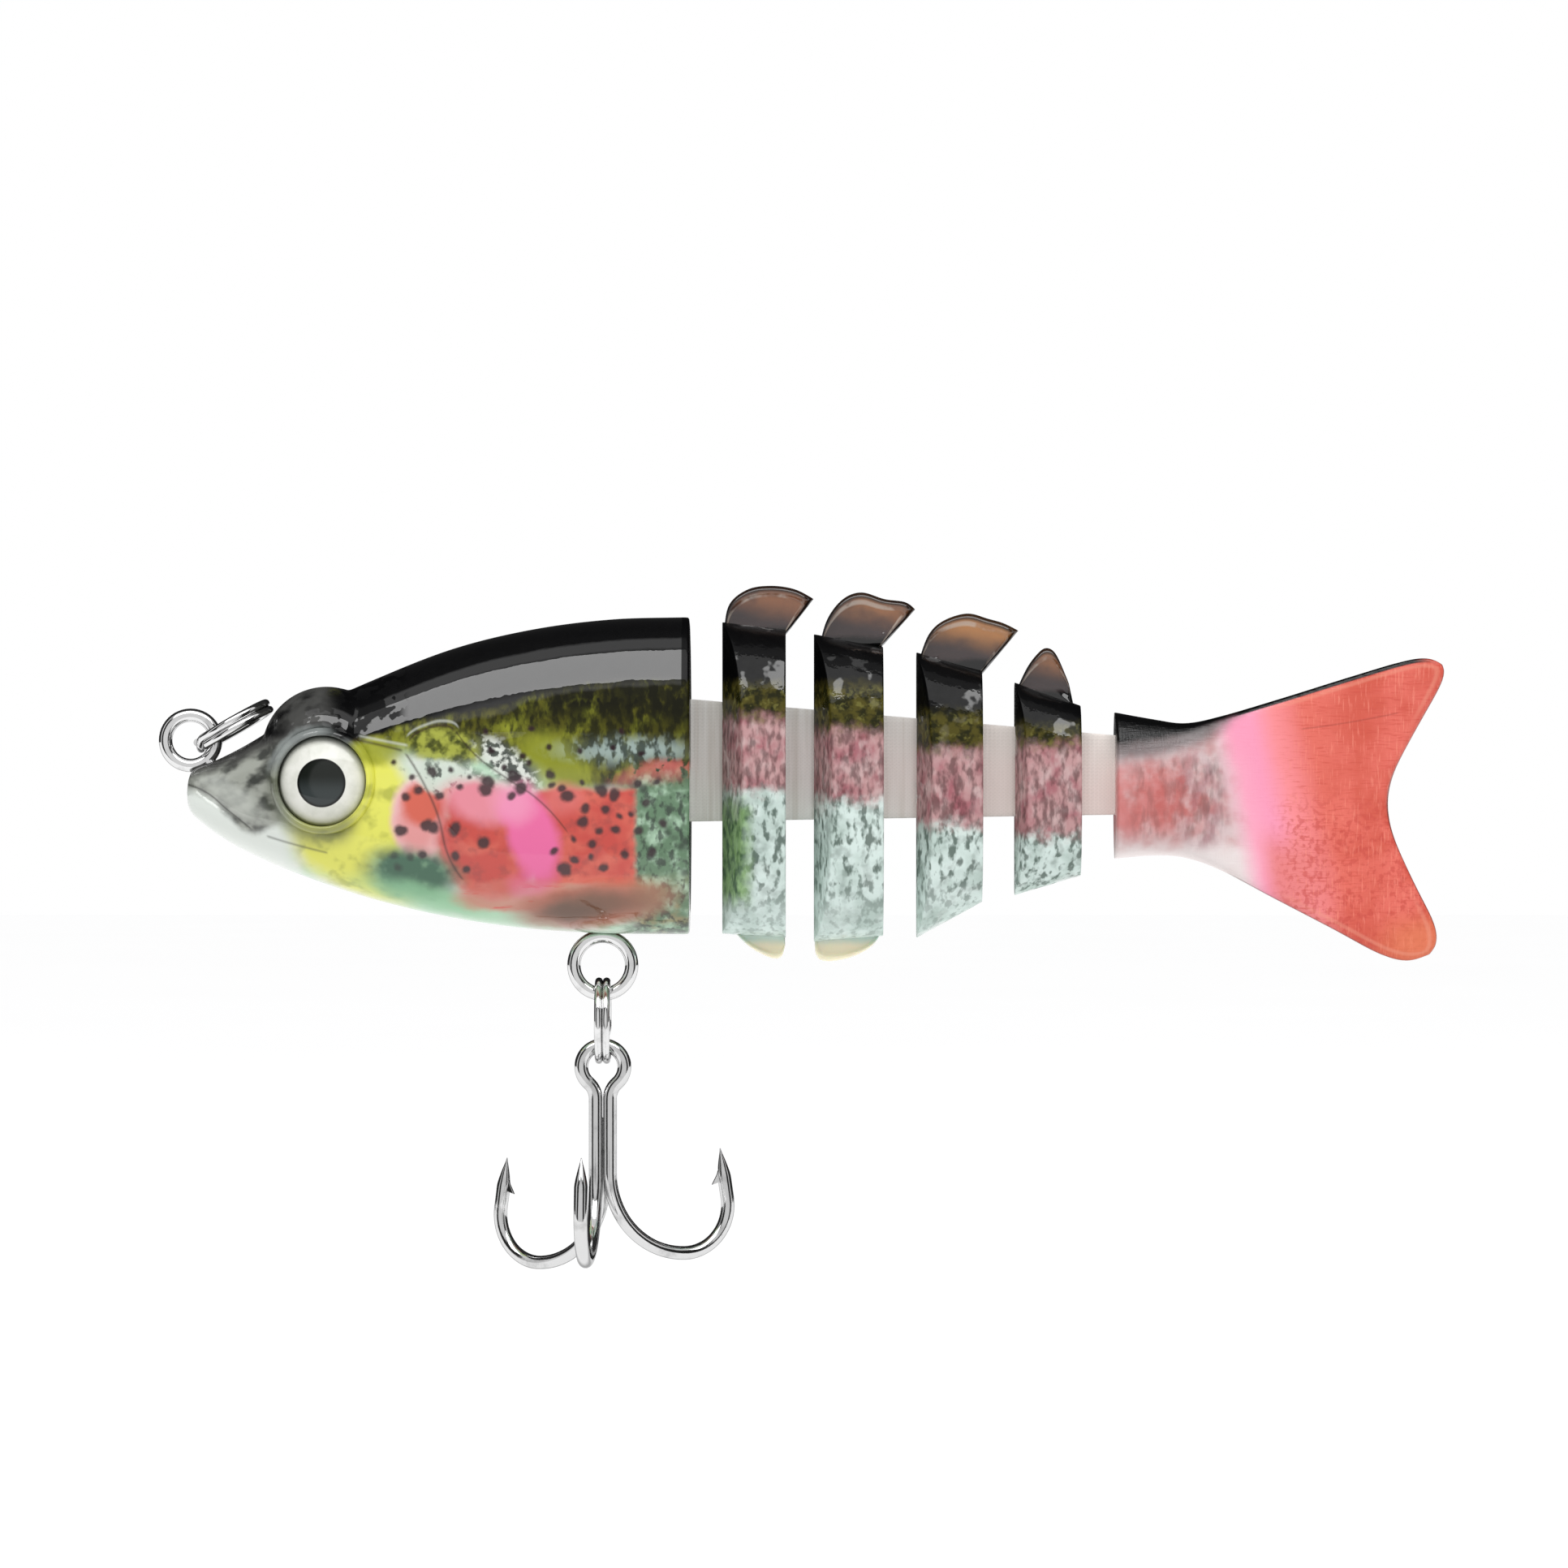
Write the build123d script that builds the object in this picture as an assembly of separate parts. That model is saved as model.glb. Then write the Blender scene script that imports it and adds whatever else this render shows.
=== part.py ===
from build123d import *
import os
from math import atan2, copysign, cos, degrees, pi, radians, sin, sqrt, tan

# A jointed swimbait, 50 mm from nose to tail tip: a hollow head, four thin body segments and a tail,
# each moulded as a left and a right half that clamp one woven ribbon. The ribbon is the only link
# between them, so each gap is a hinge that swings sideways. Wire eyes in the nose and the belly hold
# split rings, and the belly ring carries a treble hook.
#
# Millimetres. +X runs from nose to tail, +Z is up through the back, +Y is the fish's right side.
# The origin is the centre of the line tie's eye, where the lure is held in use.

# ---- body outline: stations of (x, top, bottom, half width) ----
SECTION_POWER = 2.35
NOSE_STATIONS = [
    (-0.10, -1.60, -2.65, 0.50),
    (0.30, -1.12, -3.12, 1.02),
    (0.70, -0.93, -3.46, 1.30),
    (1.10, -0.76, -3.76, 1.54),
]
HEAD_STATIONS = [
    (1.10, -0.76, -3.76, 1.54),
    (4.23, 1.00, -5.30, 2.70),
    (7.37, 2.44, -6.35, 3.18),
    (10.50, 3.66, -7.10, 3.42),
    (13.63, 4.42, -7.53, 3.50),
    (16.77, 4.82, -7.72, 3.50),
    (19.90, 4.91, -7.74, 3.40),
]
SEGMENT_STATIONS = [
    [(21.16, 4.70, -7.70, 3.30), (23.68, 4.42, -7.86, 3.10)],
    [(24.80, 4.22, -8.02, 2.98), (27.55, 3.72, -7.80, 2.72)],
    [(28.88, 3.50, -7.86, 2.58), (31.48, 2.78, -6.44, 2.28)],
    [(32.79, 2.30, -6.16, 2.12), (35.40, 1.38, -5.39, 1.80)],
]
TAIL_STATIONS = [
    (36.75, 1.12, -4.72, 1.62),
    (38.60, 0.78, -4.60, 1.28),
    (40.60, 0.82, -4.90, 0.78),
    (42.60, 1.40, -6.00, 0.50),
]

# ---- fins, as outlines in the side view ----
FIN_HALF = 0.42
FIN_EDGE_HALF = 0.24
DORSAL_FINS = [
    [(21.16, 4.05), (21.40, 5.35), (22.15, 6.02), (23.10, 6.17), (24.05, 6.02), (24.84, 5.62)],
    [(24.96, 3.60), (25.32, 4.80), (25.95, 5.62), (26.70, 5.91), (27.60, 5.63), (28.50, 5.50), (28.86, 5.22)],
    [(28.96, 3.20), (29.36, 4.20), (29.95, 4.76), (30.90, 5.07), (31.72, 4.86), (32.40, 4.66), (32.98, 4.38)],
    [(32.85, 2.05), (33.30, 2.92), (33.75, 3.50), (34.08, 3.70), (34.45, 3.42), (34.95, 2.25)],
]
DORSAL_ROOTS = [
    [(23.68, 4.42), (23.30, 3.90), (21.40, 3.90)],
    [(27.55, 4.02), (27.20, 3.20), (25.10, 3.40)],
    [(31.48, 2.84), (31.10, 2.30), (29.10, 2.90)],
    [(35.38, 1.36), (34.80, 1.00), (33.00, 1.60)],
]
BELLY_FINS = [
    [(21.50, -7.40), (22.20, -8.20), (23.10, -8.69), (23.50, -8.66), (23.68, -8.20), (23.68, -7.30)],
    [(24.80, -7.40), (24.82, -8.50), (25.20, -8.82), (26.30, -8.66), (27.20, -8.17), (27.53, -7.50)],
]
TAIL_FIN_HALF = 0.50
TAIL_FIN_TOP = [(39.40, 0.68), (41.00, 0.96), (43.44, 1.68), (46.00, 2.48), (48.30, 3.16), (49.26, 3.26)]
TAIL_FIN_UPPER_TIP = [(49.26, 3.26), (49.78, 3.06), (49.90, 2.74), (49.70, 2.10)]
TAIL_FIN_NOTCH = [(49.70, 2.10), (48.50, -0.05), (47.65, -1.75), (47.58, -3.10), (48.60, -5.50), (49.45, -7.20)]
TAIL_FIN_LOWER_TIP = [(49.45, -7.20), (49.60, -8.05), (49.20, -8.60), (48.40, -8.78), (47.30, -8.50)]
TAIL_FIN_BOTTOM = [(47.30, -8.50), (45.40, -7.49), (43.00, -6.24), (41.00, -5.18), (39.40, -4.66)]

# ---- how the faces of the gaps are cut ----
CLAMP_HALF = 0.80
FRONT_BEVEL = 18.0
GAP_CENTRES = [20.53, 24.24, 28.215, 32.135, 36.075]

# ---- woven ribbon ----
RIBBON_THICK = 0.40
RIBBON_TOP = ((17.60, 1.86), (38.80, 0.06))
RIBBON_BOTTOM = ((17.60, -3.30), (38.80, -2.96))
RIBBON_ENDS = (17.60, 38.80)
RIBBON_SLACK = 0.03
SLOT_SLACK = 0.02

# ---- pins that hold the ribbon and line up the two halves ----
PIN_RADIUS = 0.34
PIN_HOLE_RADIUS = 0.38
PIN_REACH = 0.85
PIN_OFFSET = 1.05
HEAD_PINS = [(18.75, 3.30), (18.75, -6.10), (3.35, -3.40)]

# ---- head: hollow, with the eye bosses and the ballast seats ----
WALL = 0.95
CAVITY_ENDS = (3.90, 17.10)
BROW_RADIUS = 2.55
BROW_CENTRE = (5.45, 0.70, -0.42)
BALL_RADIUS = 1.50
BALL_CENTRES = [(7.60, -3.70), (10.90, -4.60)]
BALL_SEAT_RADIUS = 1.85
BALL_SLACK = 0.02
HANGER_SEAT_RADIUS = 1.75

# ---- eyes ----
EYE_CENTRE = (5.23, 3.02, -1.58)
EYE_YAW = 8.0
EYE_RADIUS = 1.74
EYE_RIM_WIDTH = 0.26
EYE_RIM_RISE = 0.22
EYE_POCKET = 0.40
FOIL_THICK = 0.10
DOME_RISE = 0.72

# ---- wire eyes, rings and hook ----
WIRE = 0.27
WIRE_SLACK = 0.02
TIE_EYE_RADIUS = 1.00
TIE_ANCHOR = (1.52, -1.86)
TIE_ANCHOR_RADIUS = 0.72
HANGER_X = 16.40
HANGER_EYE_Z = -8.95
HANGER_EYE_RADIUS = 1.15
HANGER_ANCHOR_Z = -6.35
HANGER_ANCHOR_RADIUS = 0.85
RING_OUTER = 1.75
RING_WIDTH = 0.36
RING_COIL = 0.30
NOSE_RING_PIVOT = (0.34, -0.22)
NOSE_RING_LEAN = 30.0
RING_ON_WIRE_SLACK = 0.06
RING_TO_EYE = 0.32
HOOK_WIRE = 0.275
HOOK_EYE_RADIUS = 0.86
HOOK_NECK_BEND = 0.80
SHANK_TOP_Z = -14.60
HOOK_BOTTOM_Z = -20.50
HOOK_HEEL_BEND = 3.28
HOOK_FRONT_BEND = 1.87
HOOK_POINT_Z = -16.35
HOOK_POINT_LEAN = 9.0
HOOK_TAPER = 1.15
BRAZED_DROP = 0.45
BARB_HEIGHT = 0.38
SHANK_OFFSET = 0.285
HOOK_TURNS = {"rear": 25.0, "near": -95.0, "brazed": 145.0}

# ---- worked out from the above ----
RING_INNER = RING_OUTER - RING_WIDTH
RING_MEAN = RING_OUTER - RING_WIDTH / 2
HANGER_WIRE_Z = HANGER_EYE_Z - HANGER_EYE_RADIUS
BELLY_RING_Z = HANGER_WIRE_Z + WIRE + RING_ON_WIRE_SLACK - RING_INNER
TREBLE_PIVOT_Z = BELLY_RING_Z - RING_MEAN
HOOK_EYE_Z = TREBLE_PIVOT_Z + RING_TO_EYE + HOOK_WIRE - HOOK_EYE_RADIUS
SHANK_PLACES = {
    "rear": (SHANK_OFFSET, 0, 0),
    "near": (-SHANK_OFFSET, 0, 0),
    "brazed": (0, SHANK_OFFSET * sqrt(3), BRAZED_DROP),
}
FAR = 40.0


def line_at(ends, x):
    """The height at x of the straight line through two (x, z) points."""
    (x0, z0), (x1, z1) = ends
    return z0 + (z1 - z0) * (x - x0) / (x1 - x0)


def oval(x, top, bottom, half_width, points=12):
    """The body's cross-section at x: a closed superellipse between bottom and top."""
    middle, half_height = (top + bottom) / 2, (top - bottom) / 2
    ring = []
    for i in range(points):
        c, s = cos(2 * pi * i / points), sin(2 * pi * i / points)
        y = copysign(abs(c) ** (2 / SECTION_POWER), c) * half_width
        z = copysign(abs(s) ** (2 / SECTION_POWER), s) * half_height
        ring.append(Vector(x, y, middle + z))
    even_steps = [i / points for i in range(points + 1)]
    return make_face(Edge.make_spline(ring, periodic=True, parameters=even_steps))


def loft_along(stations):
    """A solid through the cross-sections at several stations."""
    return loft([oval(*station) for station in stations])


def side_plate(outline, half_thick):
    """A plate of the given side-view face, centred on the middle plane."""
    return extrude(Plane.XZ * outline, half_thick, both=True)


def rounded_fin(edge, root):
    """A thin fin: its free edge is a smooth curve through edge, and root closes it inside the body."""
    face = make_face([Spline(*edge), Polyline(edge[-1], *root, edge[0])])
    return side_plate(face, FIN_HALF)


def halves(solid):
    """The left (-Y) and right (+Y) half of a solid."""
    low = Pos(0, -FAR / 2, 0) * Box(3 * FAR, FAR, 3 * FAR)
    high = Pos(0, FAR / 2, 0) * Box(3 * FAR, FAR, 3 * FAR)
    return solid & low, solid & high


def front_wedges(x_front):
    """What is cut from a segment's front face, so that it can turn into the gap."""
    far_x = x_front + (FAR - CLAMP_HALF) * tan(radians(FRONT_BEVEL))
    shape = Polyline((x_front - FAR, CLAMP_HALF), (x_front, CLAMP_HALF), (far_x, FAR), (x_front - FAR, FAR), close=True)
    wedge = extrude(make_face(shape), FAR, both=True)
    return wedge + mirror(wedge, about=Plane.XZ)


def ribbon_shape(start, end, half_thick, grow=0.0, round_start=True, round_end=True):
    """A length of the ribbon. A rounded end stops just short of a hinge axis."""
    first = start + (RIBBON_SLACK + half_thick if round_start else 0)
    last = end - (RIBBON_SLACK + half_thick if round_end else 0)
    corners = [
        (first, line_at(RIBBON_BOTTOM, first) - grow),
        (last, line_at(RIBBON_BOTTOM, last) - grow),
        (last, line_at(RIBBON_TOP, last) + grow),
        (first, line_at(RIBBON_TOP, first) + grow),
    ]
    strip = side_plate(make_face(Polyline(*corners, close=True)), half_thick)
    for x, wanted in ((first, round_start), (last, round_end)):
        if wanted:
            low, high = line_at(RIBBON_BOTTOM, x), line_at(RIBBON_TOP, x)
            strip += Pos(x, 0, (low + high) / 2) * Cylinder(half_thick, high - low)
    return strip


def ribbon_pins(x):
    """Where the two pins stand that hold the ribbon at x."""
    middle = (line_at(RIBBON_TOP, x) + line_at(RIBBON_BOTTOM, x)) / 2
    return [(x, middle + PIN_OFFSET), (x, middle - PIN_OFFSET)]


def cross_cylinder(x, z, radius, low, high):
    """A cylinder along Y from low to high."""
    return Pos(x, (low + high) / 2, z) * Rot(90, 0, 0) * Cylinder(radius, high - low)


def clamp_ribbon(left, right, slot, pins):
    """Cuts the ribbon's slot and the pin holes, and stands the pins on the left half."""
    left -= slot
    right -= slot
    for x, z in pins:
        left += cross_cylinder(x, z, PIN_RADIUS, -RIBBON_THICK, PIN_REACH)
        right -= cross_cylinder(x, z, PIN_HOLE_RADIUS, -0.1, PIN_REACH + 0.1)
    return left, right


def pierced(ribbon, pins):
    """The ribbon with its pin holes."""
    for x, z in pins:
        ribbon -= cross_cylinder(x, z, PIN_HOLE_RADIUS, -1, 1)
    return ribbon


def wire_loop(x, z, mean, wire):
    """A ring of round wire in the middle plane."""
    return Pos(x, 0, z) * Rot(90, 0, 0) * Torus(mean, wire)


def figure_eight(eye, eye_mean, anchor, anchor_mean, wire):
    """A wire bent into an outer eye and an inner anchor loop, joined by a straight neck."""
    (x0, z0), (x1, z1) = eye, anchor
    reach = sqrt((x1 - x0) ** 2 + (z1 - z0) ** 2)
    ux, uz = (x1 - x0) / reach, (z1 - z0) / reach
    start = Vector(x0 + ux * eye_mean, 0, z0 + uz * eye_mean)
    end = Vector(x1 - ux * anchor_mean, 0, z1 - uz * anchor_mean)
    tilt = degrees(atan2(ux, uz))
    neck_length = max((end - start).dot(Vector(ux, 0, uz)), 0.0) + wire
    middle = (start + end) * 0.5
    neck = Pos(middle.X, 0, middle.Z) * Rot(0, tilt, 0) * Cylinder(wire, neck_length)
    return wire_loop(x0, z0, eye_mean, wire) + wire_loop(x1, z1, anchor_mean, wire) + neck


def line_tie(wire):
    """The nose eye, whose anchor loop is moulded round inside the nose."""
    return figure_eight((0, 0), TIE_EYE_RADIUS, TIE_ANCHOR, TIE_ANCHOR_RADIUS, wire)


def hook_hanger(wire):
    """The belly eye, whose anchor loop is moulded round inside the belly."""
    eye, anchor = (HANGER_X, HANGER_EYE_Z), (HANGER_X, HANGER_ANCHOR_Z)
    return figure_eight(eye, HANGER_EYE_RADIUS, anchor, HANGER_ANCHOR_RADIUS, wire)


def split_ring():
    """A split ring about the Z axis: two flat coils side by side, with the step where one ends."""
    corner = RING_COIL / 2 - 0.01
    coil = RectangleRounded(RING_WIDTH, RING_COIL, corner)
    profile = Plane.XZ * (Pos(RING_MEAN, RING_COIL / 2 - 0.005) * coil + Pos(RING_MEAN, 0.005 - RING_COIL / 2) * coil)
    ring = revolve(profile, axis=Axis.Z)
    notch = Pos(RING_MEAN, 0, RING_COIL) * Box(2 * RING_WIDTH, 0.12, RING_COIL)
    return ring - notch


def nose_split_ring():
    """The line's ring: threaded through the nose eye and leaning back on the brow."""
    lean = radians(NOSE_RING_LEAN)
    px, pz = NOSE_RING_PIVOT
    centre = Pos(px + RING_MEAN * cos(lean), 0, pz + RING_MEAN * sin(lean))
    return centre * Rot(0, -NOSE_RING_LEAN, 0) * split_ring()


def belly_split_ring():
    """The hook's ring: hanging on the belly eye, across the middle plane."""
    return Pos(HANGER_X, 0, BELLY_RING_Z) * Rot(0, 90, 0) * split_ring()


def tip_cone(start, end, base):
    """A needle point from start to end."""
    way = end - start
    plane = Plane(origin=start, z_dir=way)
    return plane * Pos(0, 0, way.length / 2) * Cone(base, 0.03, way.length)


def bent_hook(name):
    """One hook of the treble: shank, round bend and tapered point with its barb."""
    lean = radians(HOOK_POINT_LEAN)
    ux, uz = -sin(lean), cos(lean)
    bottom = (HOOK_HEEL_BEND, HOOK_BOTTOM_Z)
    outer_x = HOOK_HEEL_BEND + HOOK_FRONT_BEND * cos(lean)
    outer_z = HOOK_BOTTOM_Z + HOOK_FRONT_BEND * (1 + sin(lean))
    leg_length = (HOOK_POINT_Z - outer_z) / uz
    px, pz = outer_x + ux * leg_length, HOOK_POINT_Z
    taper_start = (px - ux * HOOK_TAPER, pz - uz * HOOK_TAPER)
    shank = Line((0, SHANK_TOP_Z), (0, HOOK_BOTTOM_Z + HOOK_HEEL_BEND))
    heel = TangentArc(shank @ 1, bottom, tangent=shank % 1)
    front = TangentArc(heel @ 1, (outer_x, outer_z), tangent=heel % 1)
    leg = Line(front @ 1, taper_start)
    section = Plane(origin=(0, 0, SHANK_TOP_Z), z_dir=(0, 0, -1)) * Circle(HOOK_WIRE)
    hook = sweep(section, path=Plane.XZ * (shank + heel + front + leg))
    hook += tip_cone(Vector(taper_start[0], 0, taper_start[1]), Vector(px, 0, pz), HOOK_WIRE)
    barb_foot = HOOK_TAPER + 0.30
    barb = Polyline(
        (px - ux * 0.35, pz - uz * 0.35),
        (px - ux * barb_foot - BARB_HEIGHT, pz - uz * barb_foot + 0.05),
        (px - ux * barb_foot + 0.05, pz - uz * barb_foot + 0.30),
        close=True,
    )
    hook += side_plate(make_face(barb), 0.08)
    x, y, drop = SHANK_PLACES[name]
    return Pos(HANGER_X + x, y, -drop) * Rot(0, 0, HOOK_TURNS[name]) * hook


def hook_eye():
    """The treble's eye: the wire of both shanks, led up into a drop-shaped loop."""
    across = SHANK_OFFSET + HOOK_NECK_BEND
    between = HOOK_EYE_RADIUS + HOOK_NECK_BEND
    drop = sqrt(between**2 - across**2)
    share = HOOK_EYE_RADIUS / between
    touch_x, touch_z = across * share, HOOK_EYE_Z - drop * share
    up = Line((-SHANK_OFFSET, SHANK_TOP_Z), (-SHANK_OFFSET, HOOK_EYE_Z - drop))
    flare = TangentArc(up @ 1, (-touch_x, touch_z), tangent=up % 1)
    over = ThreePointArc(flare @ 1, (0, HOOK_EYE_Z + HOOK_EYE_RADIUS), (touch_x, touch_z))
    half = Plane.XZ * (up + flare)
    path = half + mirror(half, about=Plane.YZ) + Plane.XZ * over
    section = Plane(origin=(-SHANK_OFFSET, 0, SHANK_TOP_Z), z_dir=(0, 0, 1)) * Circle(HOOK_WIRE)
    return Pos(HANGER_X, 0, 0) * sweep(section, path=path)


def double_hook():
    """Two hooks and the eye, bent from one wire."""
    return hook_eye() + bent_hook("rear") + bent_hook("near")


def eye_place(side):
    """The plane of an eye's pocket floor, facing out of the head. side is -1 for the left eye."""
    x, y, z = EYE_CENTRE
    yaw = radians(EYE_YAW)
    out = Vector(-sin(yaw), side * cos(yaw), 0)
    return Plane(origin=Vector(x, side * y, z) - out * EYE_POCKET, x_dir=(0, 0, 1), z_dir=out)


def eye_parts(side):
    """The printed foil disc and the clear dome glued over it."""
    floor = eye_place(side)
    foil = floor * Pos(0, 0, FOIL_THICK / 2) * Cylinder(EYE_RADIUS, FOIL_THICK)
    ball = (EYE_RADIUS**2 + DOME_RISE**2) / (2 * DOME_RISE)
    base = FOIL_THICK + 0.01
    dome = Pos(0, 0, base + DOME_RISE - ball) * Sphere(ball)
    dome &= Pos(0, 0, base + FAR / 2) * Box(FAR, FAR, FAR)
    return foil, floor * dome


def build_head():
    """Both head shells, hollow, with seats for the ballast, the wire eyes, the eyes and the ribbon."""
    skin = loft_along(HEAD_STATIONS) + loft_along(NOSE_STATIONS)
    bx, by, bz = BROW_CENTRE
    for side in (-1, 1):
        skin += Pos(bx, side * by, bz) * Sphere(BROW_RADIUS)
    inner = [(x, top - WALL, bottom + WALL, width - WALL) for x, top, bottom, width in HEAD_STATIONS[1:]]
    first, last = CAVITY_ENDS
    cavity = loft_along(inner) & Pos((first + last) / 2, 0, 0) * Box(last - first, FAR, FAR)
    for x, z in BALL_CENTRES:
        cavity -= cross_cylinder(x, z, BALL_SEAT_RADIUS, -FAR, FAR)
    cavity -= cross_cylinder(HANGER_X, HANGER_ANCHOR_Z, HANGER_SEAT_RADIUS, -FAR, FAR)
    for side in (-1, 1):
        rim = eye_place(side) * Pos(0, 0, (EYE_POCKET + EYE_RIM_RISE) / 2)
        skin += rim * Cylinder(EYE_RADIUS + EYE_RIM_WIDTH, EYE_POCKET + EYE_RIM_RISE)
    skin -= cavity
    for side in (-1, 1):
        pocket = eye_place(side) * Pos(0, 0, FAR / 2)
        skin -= pocket * Cylinder(EYE_RADIUS + 0.02, FAR)
    for x, z in BALL_CENTRES:
        skin -= Pos(x, 0, z) * Sphere(BALL_RADIUS + BALL_SLACK)
    skin -= line_tie(WIRE + WIRE_SLACK)
    skin -= hook_hanger(WIRE + WIRE_SLACK)
    left, right = halves(skin)
    slot = ribbon_shape(RIBBON_ENDS[0] - 0.05, FAR, RIBBON_THICK / 2 + SLOT_SLACK, 0.05, False, False)
    pins = ribbon_pins(HEAD_PINS[0][0])
    left, right = clamp_ribbon(left, right, slot, pins + HEAD_PINS)
    ribbon = ribbon_shape(RIBBON_ENDS[0], GAP_CENTRES[0], RIBBON_THICK / 2, round_start=False)
    return {"head_shell_left": left, "head_shell_right": right, "ribbon_head": pierced(ribbon, pins)}


def build_segment(number):
    """The two halves of a body segment, and the length of ribbon between them."""
    index = number - 1
    stations = SEGMENT_STATIONS[index]
    x_front, x_rear = stations[0][0], stations[-1][0]
    block = loft_along(stations) - front_wedges(x_front)
    block += rounded_fin(DORSAL_FINS[index], DORSAL_ROOTS[index])
    if index < len(BELLY_FINS):
        outline = BELLY_FINS[index]
        fin = make_face([Spline(*outline[:-1]), Polyline(outline[-2], outline[-1], outline[0])])
        block += side_plate(fin, FIN_HALF)
    left, right = halves(block)
    slot = ribbon_shape(0, FAR, RIBBON_THICK / 2 + SLOT_SLACK, 0.05, False, False)
    pins = ribbon_pins((x_front + x_rear) / 2)
    left, right = clamp_ribbon(left, right, slot, pins)
    ribbon = ribbon_shape(GAP_CENTRES[index], GAP_CENTRES[index + 1], RIBBON_THICK / 2)
    return {
        f"segment_{number}_left": left,
        f"segment_{number}_right": right,
        f"ribbon_{number}": pierced(ribbon, pins),
    }


def build_tail():
    """The two halves of the tail, which carry the forked fin."""
    stem = loft_along(TAIL_STATIONS) - front_wedges(TAIL_STATIONS[0][0])
    curves = [TAIL_FIN_TOP, TAIL_FIN_UPPER_TIP, TAIL_FIN_NOTCH, TAIL_FIN_LOWER_TIP, TAIL_FIN_BOTTOM]
    edge = [Spline(*points) for points in curves]
    fin = make_face([*edge, Line(TAIL_FIN_BOTTOM[-1], TAIL_FIN_TOP[0])])
    left, right = halves(stem + side_plate(fin, TAIL_FIN_HALF))
    slot = ribbon_shape(0, RIBBON_ENDS[1] + 0.05, RIBBON_THICK / 2 + SLOT_SLACK, 0.05, False, False)
    pins = ribbon_pins(TAIL_STATIONS[0][0] + 1.2)
    left, right = clamp_ribbon(left, right, slot, pins)
    ribbon = ribbon_shape(GAP_CENTRES[-1], RIBBON_ENDS[1], RIBBON_THICK / 2, round_end=False)
    return {"tail_left": left, "tail_right": right, "ribbon_tail": pierced(ribbon, pins)}


def build_eyes():
    """Foil disc and dome of each eye."""
    parts = {}
    for name, side in (("left", -1), ("right", 1)):
        parts[f"eye_foil_{name}"], parts[f"eye_dome_{name}"] = eye_parts(side)
    return parts


def build_metal():
    """Wire eyes, split rings, treble hook and ballast."""
    parts = {
        "line_tie": line_tie(WIRE),
        "hook_hanger": hook_hanger(WIRE),
        "nose_split_ring": nose_split_ring(),
        "belly_split_ring": belly_split_ring(),
        "treble_double_hook": double_hook(),
        "treble_single_hook": bent_hook("brazed"),
    }
    for name, (x, z) in zip(("front", "rear"), BALL_CENTRES):
        parts[f"ballast_ball_{name}"] = Pos(x, 0, z) * Sphere(BALL_RADIUS)
    return parts


os.makedirs("parts", exist_ok=True)
nodes = {**build_head(), **build_tail(), **build_eyes(), **build_metal()}
for segment_number in range(1, len(SEGMENT_STATIONS) + 1):
    nodes.update(build_segment(segment_number))
for node_name, shape in nodes.items():
    export_step(shape, f"parts/{node_name}.step")
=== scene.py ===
import logging
from dataclasses import dataclass, field
from enum import Enum
from functools import reduce
from math import atan2, copysign, cos, degrees, hypot, pi, radians, sin, sqrt, tan
from typing import Optional, Sequence, Union

import bmesh
import bpy
from mathutils import Matrix, Vector


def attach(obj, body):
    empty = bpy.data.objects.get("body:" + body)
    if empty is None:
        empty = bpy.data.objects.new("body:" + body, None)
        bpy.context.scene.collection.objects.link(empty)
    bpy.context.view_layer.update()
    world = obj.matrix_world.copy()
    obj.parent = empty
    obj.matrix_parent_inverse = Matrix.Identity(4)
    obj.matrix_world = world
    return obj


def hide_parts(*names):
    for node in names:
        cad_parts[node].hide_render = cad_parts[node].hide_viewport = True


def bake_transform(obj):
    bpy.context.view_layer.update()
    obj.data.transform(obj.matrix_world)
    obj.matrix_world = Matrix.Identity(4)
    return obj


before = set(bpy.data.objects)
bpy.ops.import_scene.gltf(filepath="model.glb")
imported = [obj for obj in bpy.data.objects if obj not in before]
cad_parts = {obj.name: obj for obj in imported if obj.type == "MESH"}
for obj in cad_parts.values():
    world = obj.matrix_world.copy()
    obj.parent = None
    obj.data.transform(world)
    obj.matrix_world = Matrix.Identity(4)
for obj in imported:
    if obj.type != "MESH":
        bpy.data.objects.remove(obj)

LOG = logging.getLogger("swimbait")
MM = 0.001
PLUMP = 2.35  # power of the body's oval: 2 is an ellipse, more is boxier
CURVE_STEPS = 24  # points between two given points of a smooth curve
TURN_STEPS = 64  # steps round a turned piece
SKIN_LEVELS = 2  # subdivision of a skin
WELD_GAP, TURNED_GAP = 0.004, 0.0008  # corners closer than this are one, in mm
WIRE_SIDES = 5  # rounding steps of a wire's section
DRIFT_SCALE = 1.1  # scale of the noise that pushes patterns about
FLECK_LEVEL = 0.62  # noise above this makes a fleck
STROKE_END = 0.08  # how far a stroke's ends fade, in mm
THROUGH = 1e6  # half depth of an airbrushed oval, which goes right through the lure
COAT_ROUGH, COAT_IOR = 0.02, 1.6
BARE_SHINE, COATED_SHINE = 0.5, 0.05
SRGB_KNEE, SRGB_SLOPE, SRGB_LIFT, SRGB_POWER = 0.04, 12.92, 0.055, 2.4

Point = tuple[float, float, float]
Flat = tuple[float, float]
Station = tuple[float, float, float, float]
Colour = tuple[float, float, float]
Socket = bpy.types.NodeSocket
Value = Union[float, Socket]
Thing = bpy.types.Object
Material = bpy.types.Material
Node = bpy.types.Node
Tree = bpy.types.NodeTree
Inputs = dict[Union[str, int], object]


class Side(Enum):
    """The two sides of the fish. The value is the sign of Y."""

    LEFT = -1
    RIGHT = 1

    @property
    def word(self) -> str:
        """The side's name in lower case."""
        return self.name.lower()


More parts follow.
